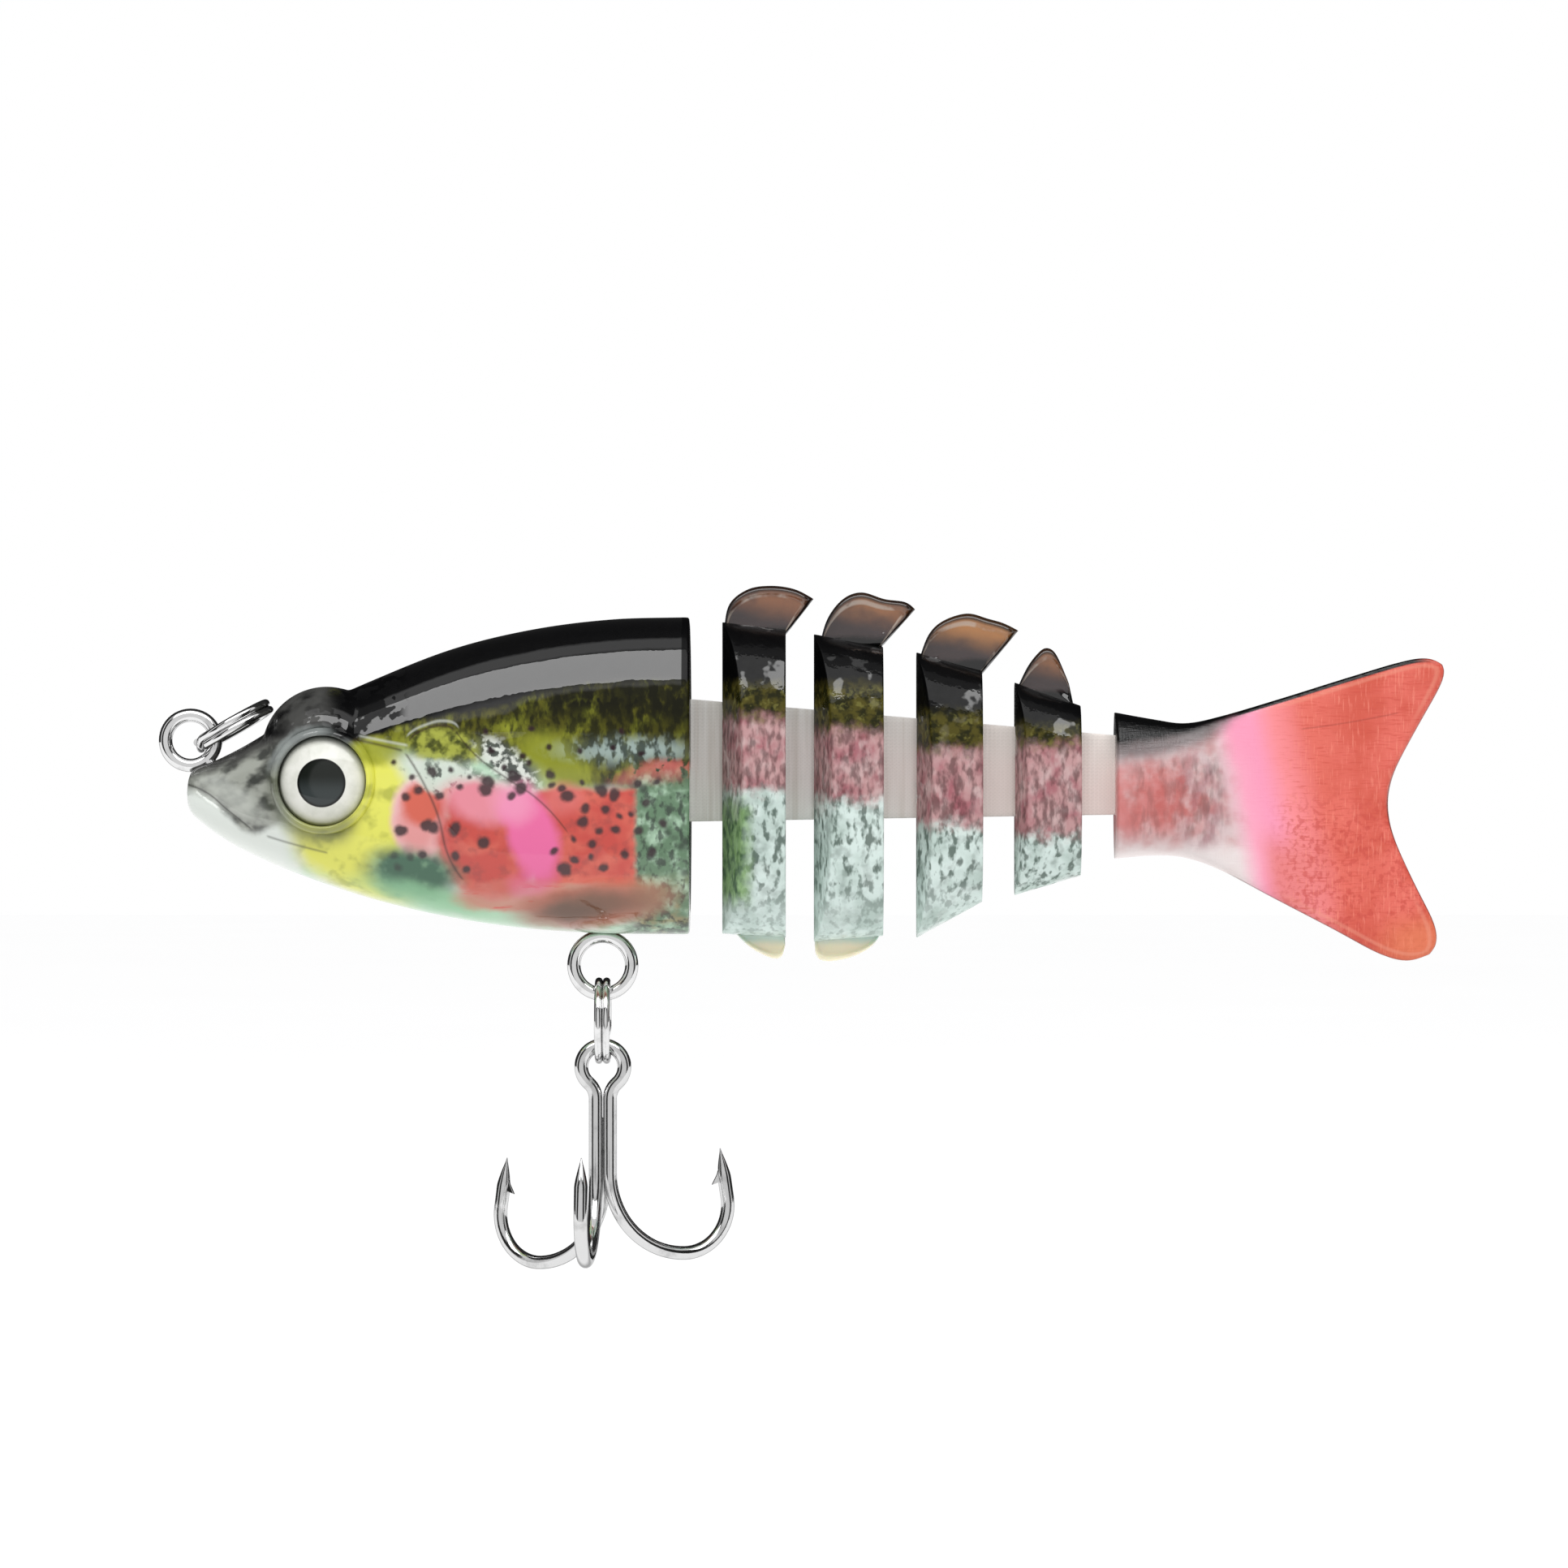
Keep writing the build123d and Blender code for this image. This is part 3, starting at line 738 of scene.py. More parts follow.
    def cheek(self, p: Paint) -> None:
        """Chartreuse behind and under the eye, and the coral cheek patch."""
        c = PALETTE
        yellow = p.either(
            p.patch((7.15, -2.7), (1.75, 2.75), 0.22, 6), p.patch((5.9, -4.35), (2.3, 1.15), 0.4, -30),
            p.patch((6.9, -5.5), (2.0, 0.65), 0.5, -22),
        )
        p.lay(tint(168, 174, 168), p.patch((3.9, -1.3), (1.5, 1.8), 0.35))
        p.lay(c.chartreuse, yellow)
        p.lay(c.lime, yellow, p.flecks(1.2, 0.03, 0.1), 0.6)
        p.lay(c.lime, p.patch((7.4, -0.45), (1.3, 0.55), 0.5), 0.8)
        fringe = p.patch((9.3, -3.1), (1.12, 1.7), 0.16)
        p.lay(tint(238, 196, 196), fringe)
        p.lay(c.salmon, p.patch((9.2, -3.3), (0.85, 1.3), 0.45), 0.6)
        p.lay(tint(212, 96, 76), p.patch((9.45, -2.5), (0.85, 0.85), 0.3, -18))
        plate = p.both(p.patch((10.5, -1.65), (1.5, 0.72), 0.2, -20), 0.95)
        p.lay(p.over(c.pearl, c.mint, p.noise(1.2), 0.6), plate)
        p.lay(c.ink, p.patch((10.6, -1.75), (1.9, 0.7), 0.4, -20), p.flecks(2.4, 0.02, 0.06), 0.85)

    def gill_cover(self, p: Paint) -> None:
        """Coral gill cover with its hot pink middle and a painted highlight across its top."""
        c = PALETTE
        front = p.either(p.patch((12.1, -4.1), (2.1, 2.1), 0.14), p.patch((11.5, -2.75), (1.2, 0.98), 0.2))
        rear = p.both(
            p.between(p.dx, 13.8, 17.75, 0.14), p.between(p.dz, -5.75, -1.95, 0.18),
            p.step(p.sum("SUBTRACT", p.dx, p.dz), 15.8, 16.3),
        )
        flesh = p.over(c.coral, tint(222, 112, 92), p.flecks(0.8, 0.06, 0.16), 0.8)
        flesh = p.over(flesh, tint(150, 62, 58), p.flecks(2.2, 0.02, 0.12), 0.45)
        p.lay(flesh, p.either(front, rear))
        # painted highlight: lighter pink across the top of the raised gill cover
        p.lay(tint(232, 142, 158), p.patch((11.75, -2.45), (1.55, 0.8), 0.45, -12), 0.9)
        p.lay(
            c.pink,
            p.either(
                p.patch((13.75, -3.75), (0.92, 1.95), 0.3, 14), p.patch((13.3, -2.75), (0.9, 0.8), 0.4, -30),
            ),
        )
        p.lay(tint(242, 158, 190), p.patch((13.0, -2.5), (0.8, 0.7), 0.6, -20), 0.7)
        p.lay(c.salmon, p.patch((14.9, -2.35), (0.75, 0.62), 0.5), 0.8)
        shadow = p.stroke(
            ((10.45, -1.9), (10.2, -2.6), (10.25, -4.2), (10.6, -5.2), (11.0, -5.9))[::-1], 0.1, 0.22, True,
        )
        p.lay(c.salmon, shadow, 0.7)

    def low_patches(self, p: Paint) -> None:
        """The green patch, the coral streaks and the pectoral fin."""
        c = PALETTE
        green = p.patch((8.95, -5.25), (1.85, 0.95), 0.4, -8)
        p.lay(p.over(tint(58, 100, 76), tint(118, 158, 124), p.flecks(1.4, 0.02, 0.16)), green)
        p.lay(c.ink, green, p.spots(0.72, 0.17, 0.1), 0.75)
        p.lay(tint(140, 196, 150), p.patch((9.6, -6.25), (2.6, 0.5), 0.6, -14), 0.8)
        streaks = p.either(p.flecks(1.7, 0.08, 0.1, (0.45, 1, 2.6)), 0.75)
        p.lay(tint(208, 106, 92), p.patch((13.0, -6.15), (2.3, 0.66), 0.24, 2), streaks)
        p.lay(c.pink, p.patch((13.6, -5.7), (0.8, 0.5), 0.5), 0.4)
        fin = p.patch((16.3, -6.45), (2.95, 0.88), 0.34, 7)
        flesh = p.over(tint(214, 112, 90), tint(180, 126, 98), p.step(p.x, 16.8, 18.4))
        p.lay(flesh, fin, 0.92)
        p.lay(c.brown, p.patch((15.8, -6.6), (2.4, 0.72), 0.6, 7), 0.9)
        p.lay(c.ink, p.patch((15.2, -6.75), (1.0, 0.35), 0.7, 5), 0.35)

    def snout(self, p: Paint) -> None:
        """Grey mottled snout over a white chin, the smoky brow, painted shade round the front and bottom of the
        eye socket and a painted highlight on the socket rim's upper rear.
        """
        c = PALETTE
        chin = p.step(p.add(p.x, p.both(p.z, 0.9)), 2.2, 0.2)
        p.lay(tint(226, 232, 225), chin, p.step(p.x, 5.0, 3.6))
        grey = p.over(tint(158, 161, 152), tint(66, 68, 64), p.flecks(1.3, 0.09, 0.14, (0.8, 1, 1.3)))
        upper_lip = ((-0.3, -1.95), (0.6, -2.15), (1.6, -2.95), (2.6, -3.65), (3.6, -3.4), (4.4, -3.6))
        p.lay(grey, p.above(upper_lip, 0.22), p.step(p.x, 4.4, 3.4))
        white = p.both(p.patch((1.75, -2.25), (1.35, 0.5), 0.6, -30), 0.75)
        p.lay(tint(206, 210, 202), white, 0.8)
        top = ((-0.3, -1.55), (0.7, -1.3), (1.8, -0.95), (3.2, -0.35), (4.4, 0.1), (5.6, 0.15))
        p.lay(c.charcoal, p.above(top, 0.3), p.step(p.x, 6.2, 5.4))
        p.lay(
            c.black, p.above(((-0.3, -1.25), (1.8, -0.55), (3.4, 0.1), (5.0, 0.3)), 0.16),
            p.flecks(1.6, 0.16, 0.08), p.step(p.x, 4.2, 3.4),
        )
        # painted shade: a soft dark olive ring round the front and bottom of the eye socket
        under = p.both(p.patch((5.45, -2.05), (2.05, 2.05), 0.22), p.step(p.x, 7.2, 6.2))
        p.lay(tint(96, 102, 74), under, 0.7)
        brow = p.patch((5.45, 0.75), (2.0, 1.15), 0.2)
        p.lay(p.over(c.charcoal, c.black, p.flecks(0.8, 0.08, 0.12)), brow)
        # pale painted highlight on the upper rear of the socket rim
        socket_highlight = p.both(p.patch((5.25, -1.45), (2.02, 2.02), 0.06), p.step(p.x, 6.9, 6.0))
        p.lay(tint(146, 152, 150), socket_highlight, p.step(p.z, -1.6, -0.6), 0.75)

    def lines(self, p: Paint) -> None:
        """The mouth and the dark edges of the gill plates."""
        c = PALETTE
        mouth = p.stroke(((-0.1, -1.75), (0.7, -2.05), (1.6, -2.75), (2.55, -3.5)), 0.03, 0.06)
        jaw = p.stroke(((3.2, -3.8), (4.2, -4.1), (5.6, -4.45)), 0.03, 0.07)
        gills = p.either(
            p.stroke(((6.7, 0.02), (7.7, -0.2), (8.6, -0.42)), 0.04, 0.08),
            p.stroke(
                ((10.95, -5.5), (10.35, -4.4), (10.05, -3.1), (9.6, -2.0), (8.75, -0.55)), 0.04, 0.08, True,
            ),
            p.stroke(((8.9, 0.02), (9.5, 0.42), (10.2, 0.56), (10.65, 0.4)), 0.05, 0.07),
            p.stroke(((10.7, 0.35), (11.5, -0.6), (12.7, -1.5), (13.9, -2.3), (15.1, -3.6)), 0.035, 0.08),
        )
        p.lay(tint(44, 46, 40), p.either(mouth, p.both(jaw, 0.8)), 0.9)
        p.lay(tint(50, 34, 30), gills, 0.8)
        gleam = p.either(
            p.stroke(((6.9, 0.16), (7.8, -0.03), (8.8, -0.22)), 0.04, 0.07),
            p.stroke(((8.8, 0.18), (9.5, 0.58), (10.25, 0.74), (10.8, 0.52)), 0.04, 0.07),
        )
        p.lay(c.pearl, gleam, 0.55)


@dataclass(frozen=True)
class SegmentPaint:
    """One segment's bands: how low each reaches, in mm."""

    black_to: float
    olive_to: float
    rose_to: float
    leafy: float = 0.0

    def material(self, name: str, front: float) -> Material:
        """Makes the material.

        Args:
            name: the material's name.
            front: the segment's front face in mm, where the green begins.

        Returns:
            The material.
        """
        p = Paint(name, 0.12)
        c = PALETTE
        level = p.add(p.z, p.both(p.sum("SUBTRACT", p.noise(1.6, 4.0), 0.5), 1.3))
        belly = p.over(tint(218, 234, 228), tint(190, 208, 200), p.step(p.noise(0.9), 0.38, 0.66))
        strokes = p.either(p.flecks(2.7, 0.065, 0.09, (1.35, 1.2, 0.7)), p.both(p.flecks(1.9, 0.02, 0.12), 0.5))
        fade = p.step(p.z, -8.2, -5.0)
        p.coat = belly
        p.lay(tint(70, 88, 78), strokes, p.either(fade, 0.45), 0.85)
        if self.leafy:
            reach = p.both(p.step(p.dx, front + 1.45, front + 0.75), p.between(p.z, -6.4, -2.4, 0.5))
            leaf = p.over(c.leaf, tint(60, 92, 54), p.flecks(2.3, 0.08, 0.14, (1, 1, 0.8)))
            p.lay(leaf, reach, self.leafy)
        rose = p.over(tint(192, 150, 150), tint(164, 100, 108), p.flecks(1.1, 0.06, 0.16))
        rose = p.over(rose, tint(206, 180, 178), p.flecks(2.0, 0.02, 0.14, (1.2, 1.2, 0.7)), 0.7)
        rose = p.over(rose, tint(84, 56, 56), p.flecks(2.9, 0.085, 0.13, (1.35, 1.2, 0.65)), 0.7)
        p.lay(rose, p.step(level, self.rose_to - 0.4, self.rose_to + 0.4))
        olive = p.over(tint(78, 72, 26), c.moss, p.flecks(2.4, 0.12, 0.1))
        olive = p.over(olive, tint(120, 116, 58), p.flecks(3.2, 0.0, 0.08), 0.6)
        p.lay(olive, p.step(level, self.olive_to - 0.5, self.olive_to + 0.35))
        hem = p.add(p.z, p.both(p.sum("SUBTRACT", level, p.z), 0.5))
        p.lay(c.black, p.step(hem, self.black_to - 0.5, self.black_to + 0.2))
        p.bump(p.noise(0.9, 4.0), 0.3, 0.16)
        worn = p.both(p.flecks(0.95, 0.03, 0.02), 0.85)
        return p.finish(p.step(p.noise(3.0), -1.0, 2.2), p.add(worn, 0.12))


@dataclass(frozen=True)
class TailPaint:
    """Black top, rose stem and coral fin with fine scratches, and painted highlights along the fork's bevelled
    edges.
    """

    fan_start: float = 41.6

    def material(self) -> Material:
        """Makes the material."""
        p = Paint("trout_tail_paint", 0.14)
        c = PALETTE
        lengthwise = p.noise(5.0, 3.0, (0.3, 1, 3.2))
        crosswise = p.noise(5.0, 3.0, (3.2, 1, 0.3))
        blush = p.add(p.dx, p.both(p.add(p.z, 1.2), 0.22))
        stem = self.stem(p)
        fan = self.fan(p, blush, lengthwise, crosswise)
        p.coat = stem
        p.lay(fan, p.step(blush, self.fan_start - 0.9, self.fan_start + 0.3))
        smoke = p.above(((36.7, -0.75), (38.5, -0.6), (40.2, -0.1), (41.6, 0.75), (42.6, 1.3)), 0.4)
        p.lay(tint(96, 92, 92), smoke, p.step(p.x, 42.4, 40.4), 0.85)
        top = p.above(((36.7, -0.2), (38.5, 0.05), (40.2, 0.42), (41.6, 0.96), (43.0, 1.6)), 0.22)
        p.lay(c.black, top, p.step(p.x, 43.0, 41.8))
        rim = p.attribute("rim")
        # pale painted highlight along the fin's bevelled edge, near the tips of the fork
        bevel = p.both(p.between(rim, 0.35, 0.62, 0.1), p.step(p.x, 42.6, 43.6))
        p.lay(tint(240, 164, 140), bevel, p.either(p.step(p.dz, 0.0, 2.0), p.step(p.dz, -5.5, -7.5)), 0.32)
        p.lay(tint(96, 44, 42), p.step(rim, 0.9, 0.98), p.step(p.x, 41.0, 41.8), 0.7)
        upper = p.above(((41.0, 0.4), (43.4, 1.0), (46.0, 1.8), (48.3, 2.5), (50.0, 2.6)), 0.1)
        p.lay(c.black, p.step(rim, 0.68, 0.8), upper, p.step(p.x, 41.0, 41.8), p.step(p.x, 49.7, 48.6))
        p.bump(p.add(p.add(lengthwise, crosswise), p.noise(0.6)), 0.3, 0.06)
        return p.finish(0.4, 0.4)

    def stem(self, p: Paint) -> Value:
        """The rose stem, mottled with coral, mauve and grey."""
        c = PALETTE
        p.coat = tint(222, 200, 200)
        p.lay(tint(206, 160, 160), p.flecks(1.3, 0.05, 0.16))
        p.lay(
            tint(216, 128, 126), p.between(p.dz, -3.7, -1.2, 0.5), p.step(p.x, 39.6, 38.4),
            p.flecks(0.9, 0.2, 0.16), 0.85,
        )
        p.lay(tint(190, 92, 86), p.patch((38.9, -2.3), (1.9, 1.25), 0.5), p.flecks(1.6, 0.11, 0.16), 0.85)
        p.lay(c.mauve, p.patch((40.2, -2.5), (1.0, 1.9), 0.45), p.flecks(1.5, 0.12, 0.16, (1.3, 1, 0.6)), 0.65)
        p.lay(
            tint(104, 84, 80), p.between(p.x, 37.4, 41.0, 0.5), p.between(p.dz, -3.8, -0.8, 0.4),
            p.flecks(2.6, 0.07, 0.14, (1.4, 1, 0.5)), 0.55,
        )
        p.lay(tint(198, 112, 108), p.patch((38.4, -2.5), (1.7, 1.35), 0.7), 0.5)
        p.lay(tint(240, 232, 230), p.step(p.dz, -3.9, -4.6), 0.8)
        return p.coat

    def fan(self, p: Paint, blush: Value, lengthwise: Socket, crosswise: Socket) -> Value:
        """The fin: pink at the stem, then coral with fine scratches.

        Args:
            p: the paint.
            blush: how far towards the fin's rear a place lies, in mm.
            lengthwise: noise drawn out along the fish.
            crosswise: noise drawn out across it.

        Returns:
            The fin's colour.
        """
        p.coat = tint(250, 158, 188)
        p.lay(tint(250, 146, 152), p.step(blush, 42.4, 43.6))
        p.lay(tint(230, 112, 98), p.step(blush, 43.2, 45.0))
        p.lay(
            tint(232, 128, 124), p.step(p.dz, -3.0, -5.0), p.step(blush, 41.4, 42.4), p.step(p.x, 46.0, 44.0),
            0.9,
        )
        p.lay(tint(208, 86, 68), p.step(p.noise(0.4), 0.36, 0.62), p.step(p.x, 44.2, 46.8), 0.85)
        p.lay(tint(206, 78, 66), p.step(lengthwise, 0.52, 0.68), p.step(p.x, 42.6, 44.6), 0.55)
        p.lay(
            tint(198, 70, 62), p.flecks(4.5, 0.06, 0.08), p.step(p.dz, -1.5, -3.5), p.step(p.x, 42.6, 44.2),
            0.55,
        )
        p.lay(tint(248, 150, 130), p.step(crosswise, 0.54, 0.7), p.step(p.x, 43.0, 44.6), 0.45)
        p.lay(tint(252, 178, 200), p.between(p.z, -5.4, -0.2, 1.2), p.step(blush, 42.6, 41.4), 0.6)
        p.lay(tint(228, 130, 88), p.patch((49.0, -8.1), (1.5, 1.0), 0.7), 0.6)
        p.lay(tint(150, 56, 52), p.stroke(((44.2, 0.45), (45.5, 0.62), (48.0, 1.08)), 0.015, 0.05), 0.6)
        return p.coat


@dataclass(frozen=True)
class FinletPaint:
    """The smoky clear plastic of a finlet, browner towards its top.

    Args:
        front: the finlet's front end in mm.
        low: the height in mm where the black of the back ends.
        high: the finlet's top in mm.
        warm: how far the top turns from brown to amber.
    """

    front: float
    low: float
    high: float
    warm: float

    def material(self, name: str) -> Material:
        """Makes the material under the given name."""
        p = Paint(name, 0.15)
        smoke, brown, amber = (tint(60, 50, 50), tint(132, 88, 68), tint(190, 132, 78))
        rise = p.step(
            p.add(p.dz, p.both(p.sum("SUBTRACT", p.dx, self.front), 0.22)),
            self.low + 0.4 * (self.high - self.low), self.high + 0.1,
        )
        p.coat = smoke
        p.lay(p.over(brown, amber, self.warm), rise)
        p.lay(tint(60, 50, 52), p.flecks(0.8, 0.02, 0.12), 0.5)
        p.lay(PALETTE.black, p.step(p.dz, self.low + 0.35, self.low + 0.05))
        rim = p.attribute("rim")
        glint = p.both(p.between(rim, 0.8, 0.87, 0.02), p.step(p.noise(0.9), 0.4, 0.55))
        p.lay(tint(214, 200, 186), glint, 0.55)
        p.lay(PALETTE.black, p.step(rim, 0.86, 0.93), 0.92)
        p.glow(0.2)
        p.bump(p.noise(1.6, 2.0), 0.25, 0.08)
        return p.finish(0.15, 1.0)


@dataclass(frozen=True)
class PlasticPaint:
    """Milky translucent plastic that shades from one colour to another with height.

    Args:
        name: the material's name.
        upper: the colour above.
        lower: the colour below.
        high: where the upper colour is full, in mm.
        low: where the lower colour is full, in mm.
    """

    name: str
    upper: Colour
    lower: Colour
    high: float
    low: float

    def material(self) -> Material:
        """Makes the material."""
        p = Paint(self.name, 0.1)
        p.coat = self.lower
        p.lay(self.upper, p.step(p.dz, self.low, self.high))
        p.lay(tint(236, 232, 216), p.step(p.noise(1.1), 0.48, 0.7), 0.35)
        p.glow(0.3, (0.9, 0.6, 0.35))
        return p.finish(0.2, 1.0)


@dataclass(frozen=True)
class EyePrint:
    """The eye under its clear dome: slate pupil in a wide ivory ring, with painted shade: the ring darker
    towards its edge, the pupil darker at the top.
    """

    centre: Flat = (5.43, -1.7)
    pupil: float = 0.96

    def material(self, name: str, gloss: float) -> Material:
        """Makes the material."""
        p = Paint(name)
        reach = p.vector(
            "DISTANCE", p.vector("MULTIPLY", p.place, (1, 0, 1)), (self.centre[0], 0, self.centre[1]),
        )
        ivory = p.over(tint(222, 223, 213), tint(236, 236, 228), p.step(p.noise(1.6), 0.35, 0.65))
        p.coat = ivory
        # painted shade: the ivory ring darkens towards the dome's edge
        p.lay(tint(168, 170, 160), p.step(reach, 1.45, 1.8), 0.8)
        # the pupil: painted shade, darker at the top and lighter at the bottom, with a printed darker edge
        slate = p.over(
            tint(22, 26, 22), tint(56, 62, 62), p.step(p.z, self.centre[1] + 0.35, self.centre[1] - 0.45),
        )
        slate = p.over(slate, tint(14, 15, 14), p.step(reach, self.pupil - 0.14, self.pupil - 0.03))
        p.lay(slate, p.step(reach, self.pupil + 0.02, self.pupil - 0.02))
        return p.finish(0.35, gloss)


@dataclass(frozen=True)
class WovenTape:
    """Off-white woven tape, streaked along its warp threads, with faint painted shade in the weave and painted
    pink light from the tail towards its rear.
    """

    warp_pitch: float = 0.17
    weft_pitch: float = 0.14

    def material(self) -> Material:
        """Makes the material."""
        p = Paint("woven_ribbon")
        warp = p.sum("SINE", p.both(p.x, 2 * pi / self.warp_pitch))
        weft = p.sum("SINE", p.both(p.z, 2 * pi / self.weft_pitch))
        p.coat = tint(234, 230, 222)
        p.lay(tint(253, 251, 246), p.step(p.noise(1.8, 3.0, (2.2, 1, 0.07)), 0.34, 0.62))
        # painted pink light thrown from the tail: the tape turns pinker towards its rear
        p.lay(tint(252, 242, 235), p.step(p.x, 24.0, 33.0), 0.85)
        # faint painted shade in the weave's pattern
        p.lay(tint(170, 166, 160), p.step(p.both(warp, weft), 0.2, 0.9), 0.1)
        p.bump(p.add(warp, p.both(weft, 0.6)), 0.15, 0.02)
        p.shader.inputs["Sheen Weight"].default_value = 0.2
        return p.finish(0.6)


@dataclass(frozen=True)
class Nickel:
    """Bright nickel plate with faint smudges, and painted shade where it faces away from the view."""

    name: str
    tone: int
    rough: float

    def material(self) -> Material:
        """Makes the material."""
        p = Paint(self.name)
        smudge = p.noise(1.2, 4.0)
        light, dull = (tint(*(self.tone,) * 3), tint(*(int(self.tone * 0.86),) * 3))
        p.coat = light
        p.lay(dull, p.step(smudge, 0.5, 0.72))
        # painted shade: the metal turns dark where it faces away from the view, for dark outlines along the
        # wires
        edge_shade_facing = p.tree.nodes.new("ShaderNodeLayerWeight")
        edge_shade_facing.inputs["Blend"].default_value = 0.5
        p.lay(tint(44, 44, 46), p.step(edge_shade_facing.outputs["Facing"], 0.52, 0.8), 0.9)
        p.bump(p.noise(1.4, 3.0), 0.15, 0.05)
        return p.finish(p.add(p.both(smudge, 0.1), self.rough), 0.0, 1.0)


# ------------------------------------------------------------------ sub-assemblies


@dataclass
class Head:
    """The hollow head: two painted shells with relief, eye sockets and eyes."""

    stations: list[Station] = field(
        default_factory=lambda: [
            (-0.1, -1.62, -2.6, 0.5), (0.06, -1.22, -2.9, 0.86), (0.4, -1.02, -3.22, 1.16),
            (1.1, -0.76, -3.76, 1.56), (2.2, -0.2, -4.4, 2.08), (4.23, 1.0, -5.3, 2.7),
            (7.37, 2.44, -6.35, 3.16), (10.5, 3.66, -7.08, 3.39), (13.63, 4.42, -7.52, 3.45),
            (16.77, 4.82, -7.7, 3.46), (19.9, 4.91, -7.73, 3.39),
        ]
    )
    columns: int = 92
    rows: int = 45
    brow_centre: Point = (5.45, 0.70, -0.42)
    brow_radius: float = 2.55
    eye_centre: Point = (5.42, 3.03, -1.62)
    eye_yaw: float = 8.0
    pocket_radius: float = 1.78
    pocket_depth: float = 0.55
    socket_radius: float = 2.15
    brow_low: float = -2.6
    brow_full: float = -1.2
    gill_rise: float = 0.13
    back_rise: float = 0.07
    fin_rise: float = 0.14
    mouth_depth: float = 0.13
    jaw_depth: float = 0.10
    rear_shrink: float = 0.985
    rear_round: float = 0.06

    def push_brow(self, x: float, y: float, z: float) -> Point:
        """Moves a point of the skin out onto the brow's ball, where it lies inside it."""
        cx, cy, cz = self.brow_centre
        gap = sqrt((x - cx) ** 2 + (y - cy) ** 2 + (z - cz) ** 2)
        if gap >= self.brow_radius or z < self.brow_low:
            return x, y, z
        grow = self.brow_radius / max(gap, 0.4)
        pushed_y = cy + (y - cy) * grow
        if y < 0.02 or pushed_y < 0:
            flat = sqrt(self.brow_radius**2 - cy**2)
            near = hypot(x - cx, z - cz)
            if near >= flat:
                return x, y, z
            return cx + (x - cx) * flat / near, y, cz + (z - cz) * flat / near
        blend = ease(self.brow_low, self.brow_full, z)
        return (
            x + ((x - cx) * (grow - 1)) * blend,
            y + (pushed_y - y) * blend,
            z + ((z - cz) * (grow - 1)) * blend,
        )

    def relief(self, x: float, z: float) -> float:
        """How far the skin stands out at a place in the side view, in mm: gill covers, fin and mouth."""
        gill_front = 9.25 + 0.42 * (-z) + 0.09 * (z + 3.2) ** 2 * (1 if z < -3.2 else 0.25)
        rise = self.gill_rise * ease(
            -0.12, 0.22, x - gill_front + 0.35,
        ) * ease(0.6, -0.6, z) * ease(-6.9, -5.9, z)
        rise *= ease(17.2, 15.2, x)
        back_edge = hypot((x - 12.6) / 3.9, (z + 3.3) / 3.5)
        rise += self.back_rise * ease(1.05, 0.97, back_edge) * ease(11.2, 12.0, x)
        fin = hypot((x - 16.1) / 2.9, (z + 6.4 - 0.12 * (x - 16.1)) / 0.8)
        rise += self.fin_rise * ease(1.1, 0.8, fin)
        mouth_z = -1.80 - 0.68 * max(x - 0.1, 0.0)
        rise -= self.mouth_depth * ease(0.16, 0.03, abs(z - mouth_z)) * ease(2.75, 2.2, x)
        jaw_z = -3.80 - 0.26 * (x - 3.2)
        rise -= self.jaw_depth * ease(0.20, 0.03, abs(z - jaw_z)) * ease(3.0, 3.4, x) * ease(5.9, 5.4, x)
        return rise

    def sink_eye(self, x: float, y: float, z: float) -> Point:
        """Sinks the skin under the eye, so that the eye's disc shows."""
        ex, ey, ez = self.eye_centre
        yaw = radians(self.eye_yaw)
        out = Vector((-sin(yaw), cos(yaw), 0))
        offset = Vector((x - ex, y - ey, z - ez))
        height = offset.dot(out)
        reach = (offset - out * height).length
        if reach > self.socket_radius or y < 1.0:
            return x, y, z
        wanted = -self.pocket_depth if reach < self.pocket_radius + 0.12 else min(height, 0.02)
        moved = Vector((x, y, z)) + out * (wanted - height)
        return moved.x, moved.y, moved.z

    def rings(self, side: Side) -> list[list[Point]]:
        """The skin's points for one side, ring by ring from nose to rear."""
        first, last = self.stations[0][0], self.stations[-1][0]
        places = []
        for i in range(self.columns):
            u = i / (self.columns - 1)
            places.append(first + (last - first) * (0.30 * u + 0.70 * u * u))
        places.insert(-1, last - self.rear_round)
        rings = []
        for n, x in enumerate(places):
            top, bottom, half_width = read_stations(self.stations, x)
            shrink = self.rear_shrink if n == len(places) - 1 else 1.0
            middle, half_height = (top + bottom) / 2, (top - bottom) / 2
            ring = []
            for j in range(self.rows):
                angle = pi * (j / (self.rows - 1) - 0.5)
                across = signed_power(cos(angle), 2 / PLUMP) if 0 < j < self.rows - 1 else 0.0
                up = signed_power(sin(angle), 2 / PLUMP)
                y, z = across * half_width * shrink, middle + up * half_height * shrink
                px, py, pz = self.push_brow(x, y, z)
                if 0.35 < x < 19.4 and across > 0:
                    py += self.relief(px, pz) * min(across * 1.6, 1.0)
                px, py, pz = self.sink_eye(px, py, pz)
                px = min(px, last)
                ring.append((px, side.value * py, pz))
            rings.append(ring)
        return rings

    def eye_place(self, side: Side) -> Matrix:
        """The matrix that stands an eye's turning axis on the head, in mm."""
        ex, ey, ez = self.eye_centre
        yaw = radians(self.eye_yaw)
        out = Vector((-sin(yaw), side.value * cos(yaw), 0))
        turn = out.to_track_quat("Z", "X").to_matrix().to_4x4()
        return Matrix.Translation((ex, side.value * ey, ez)) @ turn

    def build(self, finishes: "Finishes") -> None:
        """Makes both shells, the sockets and the eyes."""
        for side in Side:
            shell = make_skin(f"head_skin_{side.word}", self.rings(side))
            hand_over(shell, "head", "painted_shell", finishes.head, f"head_shell_{side.word}")
            self.build_eye(side, finishes)

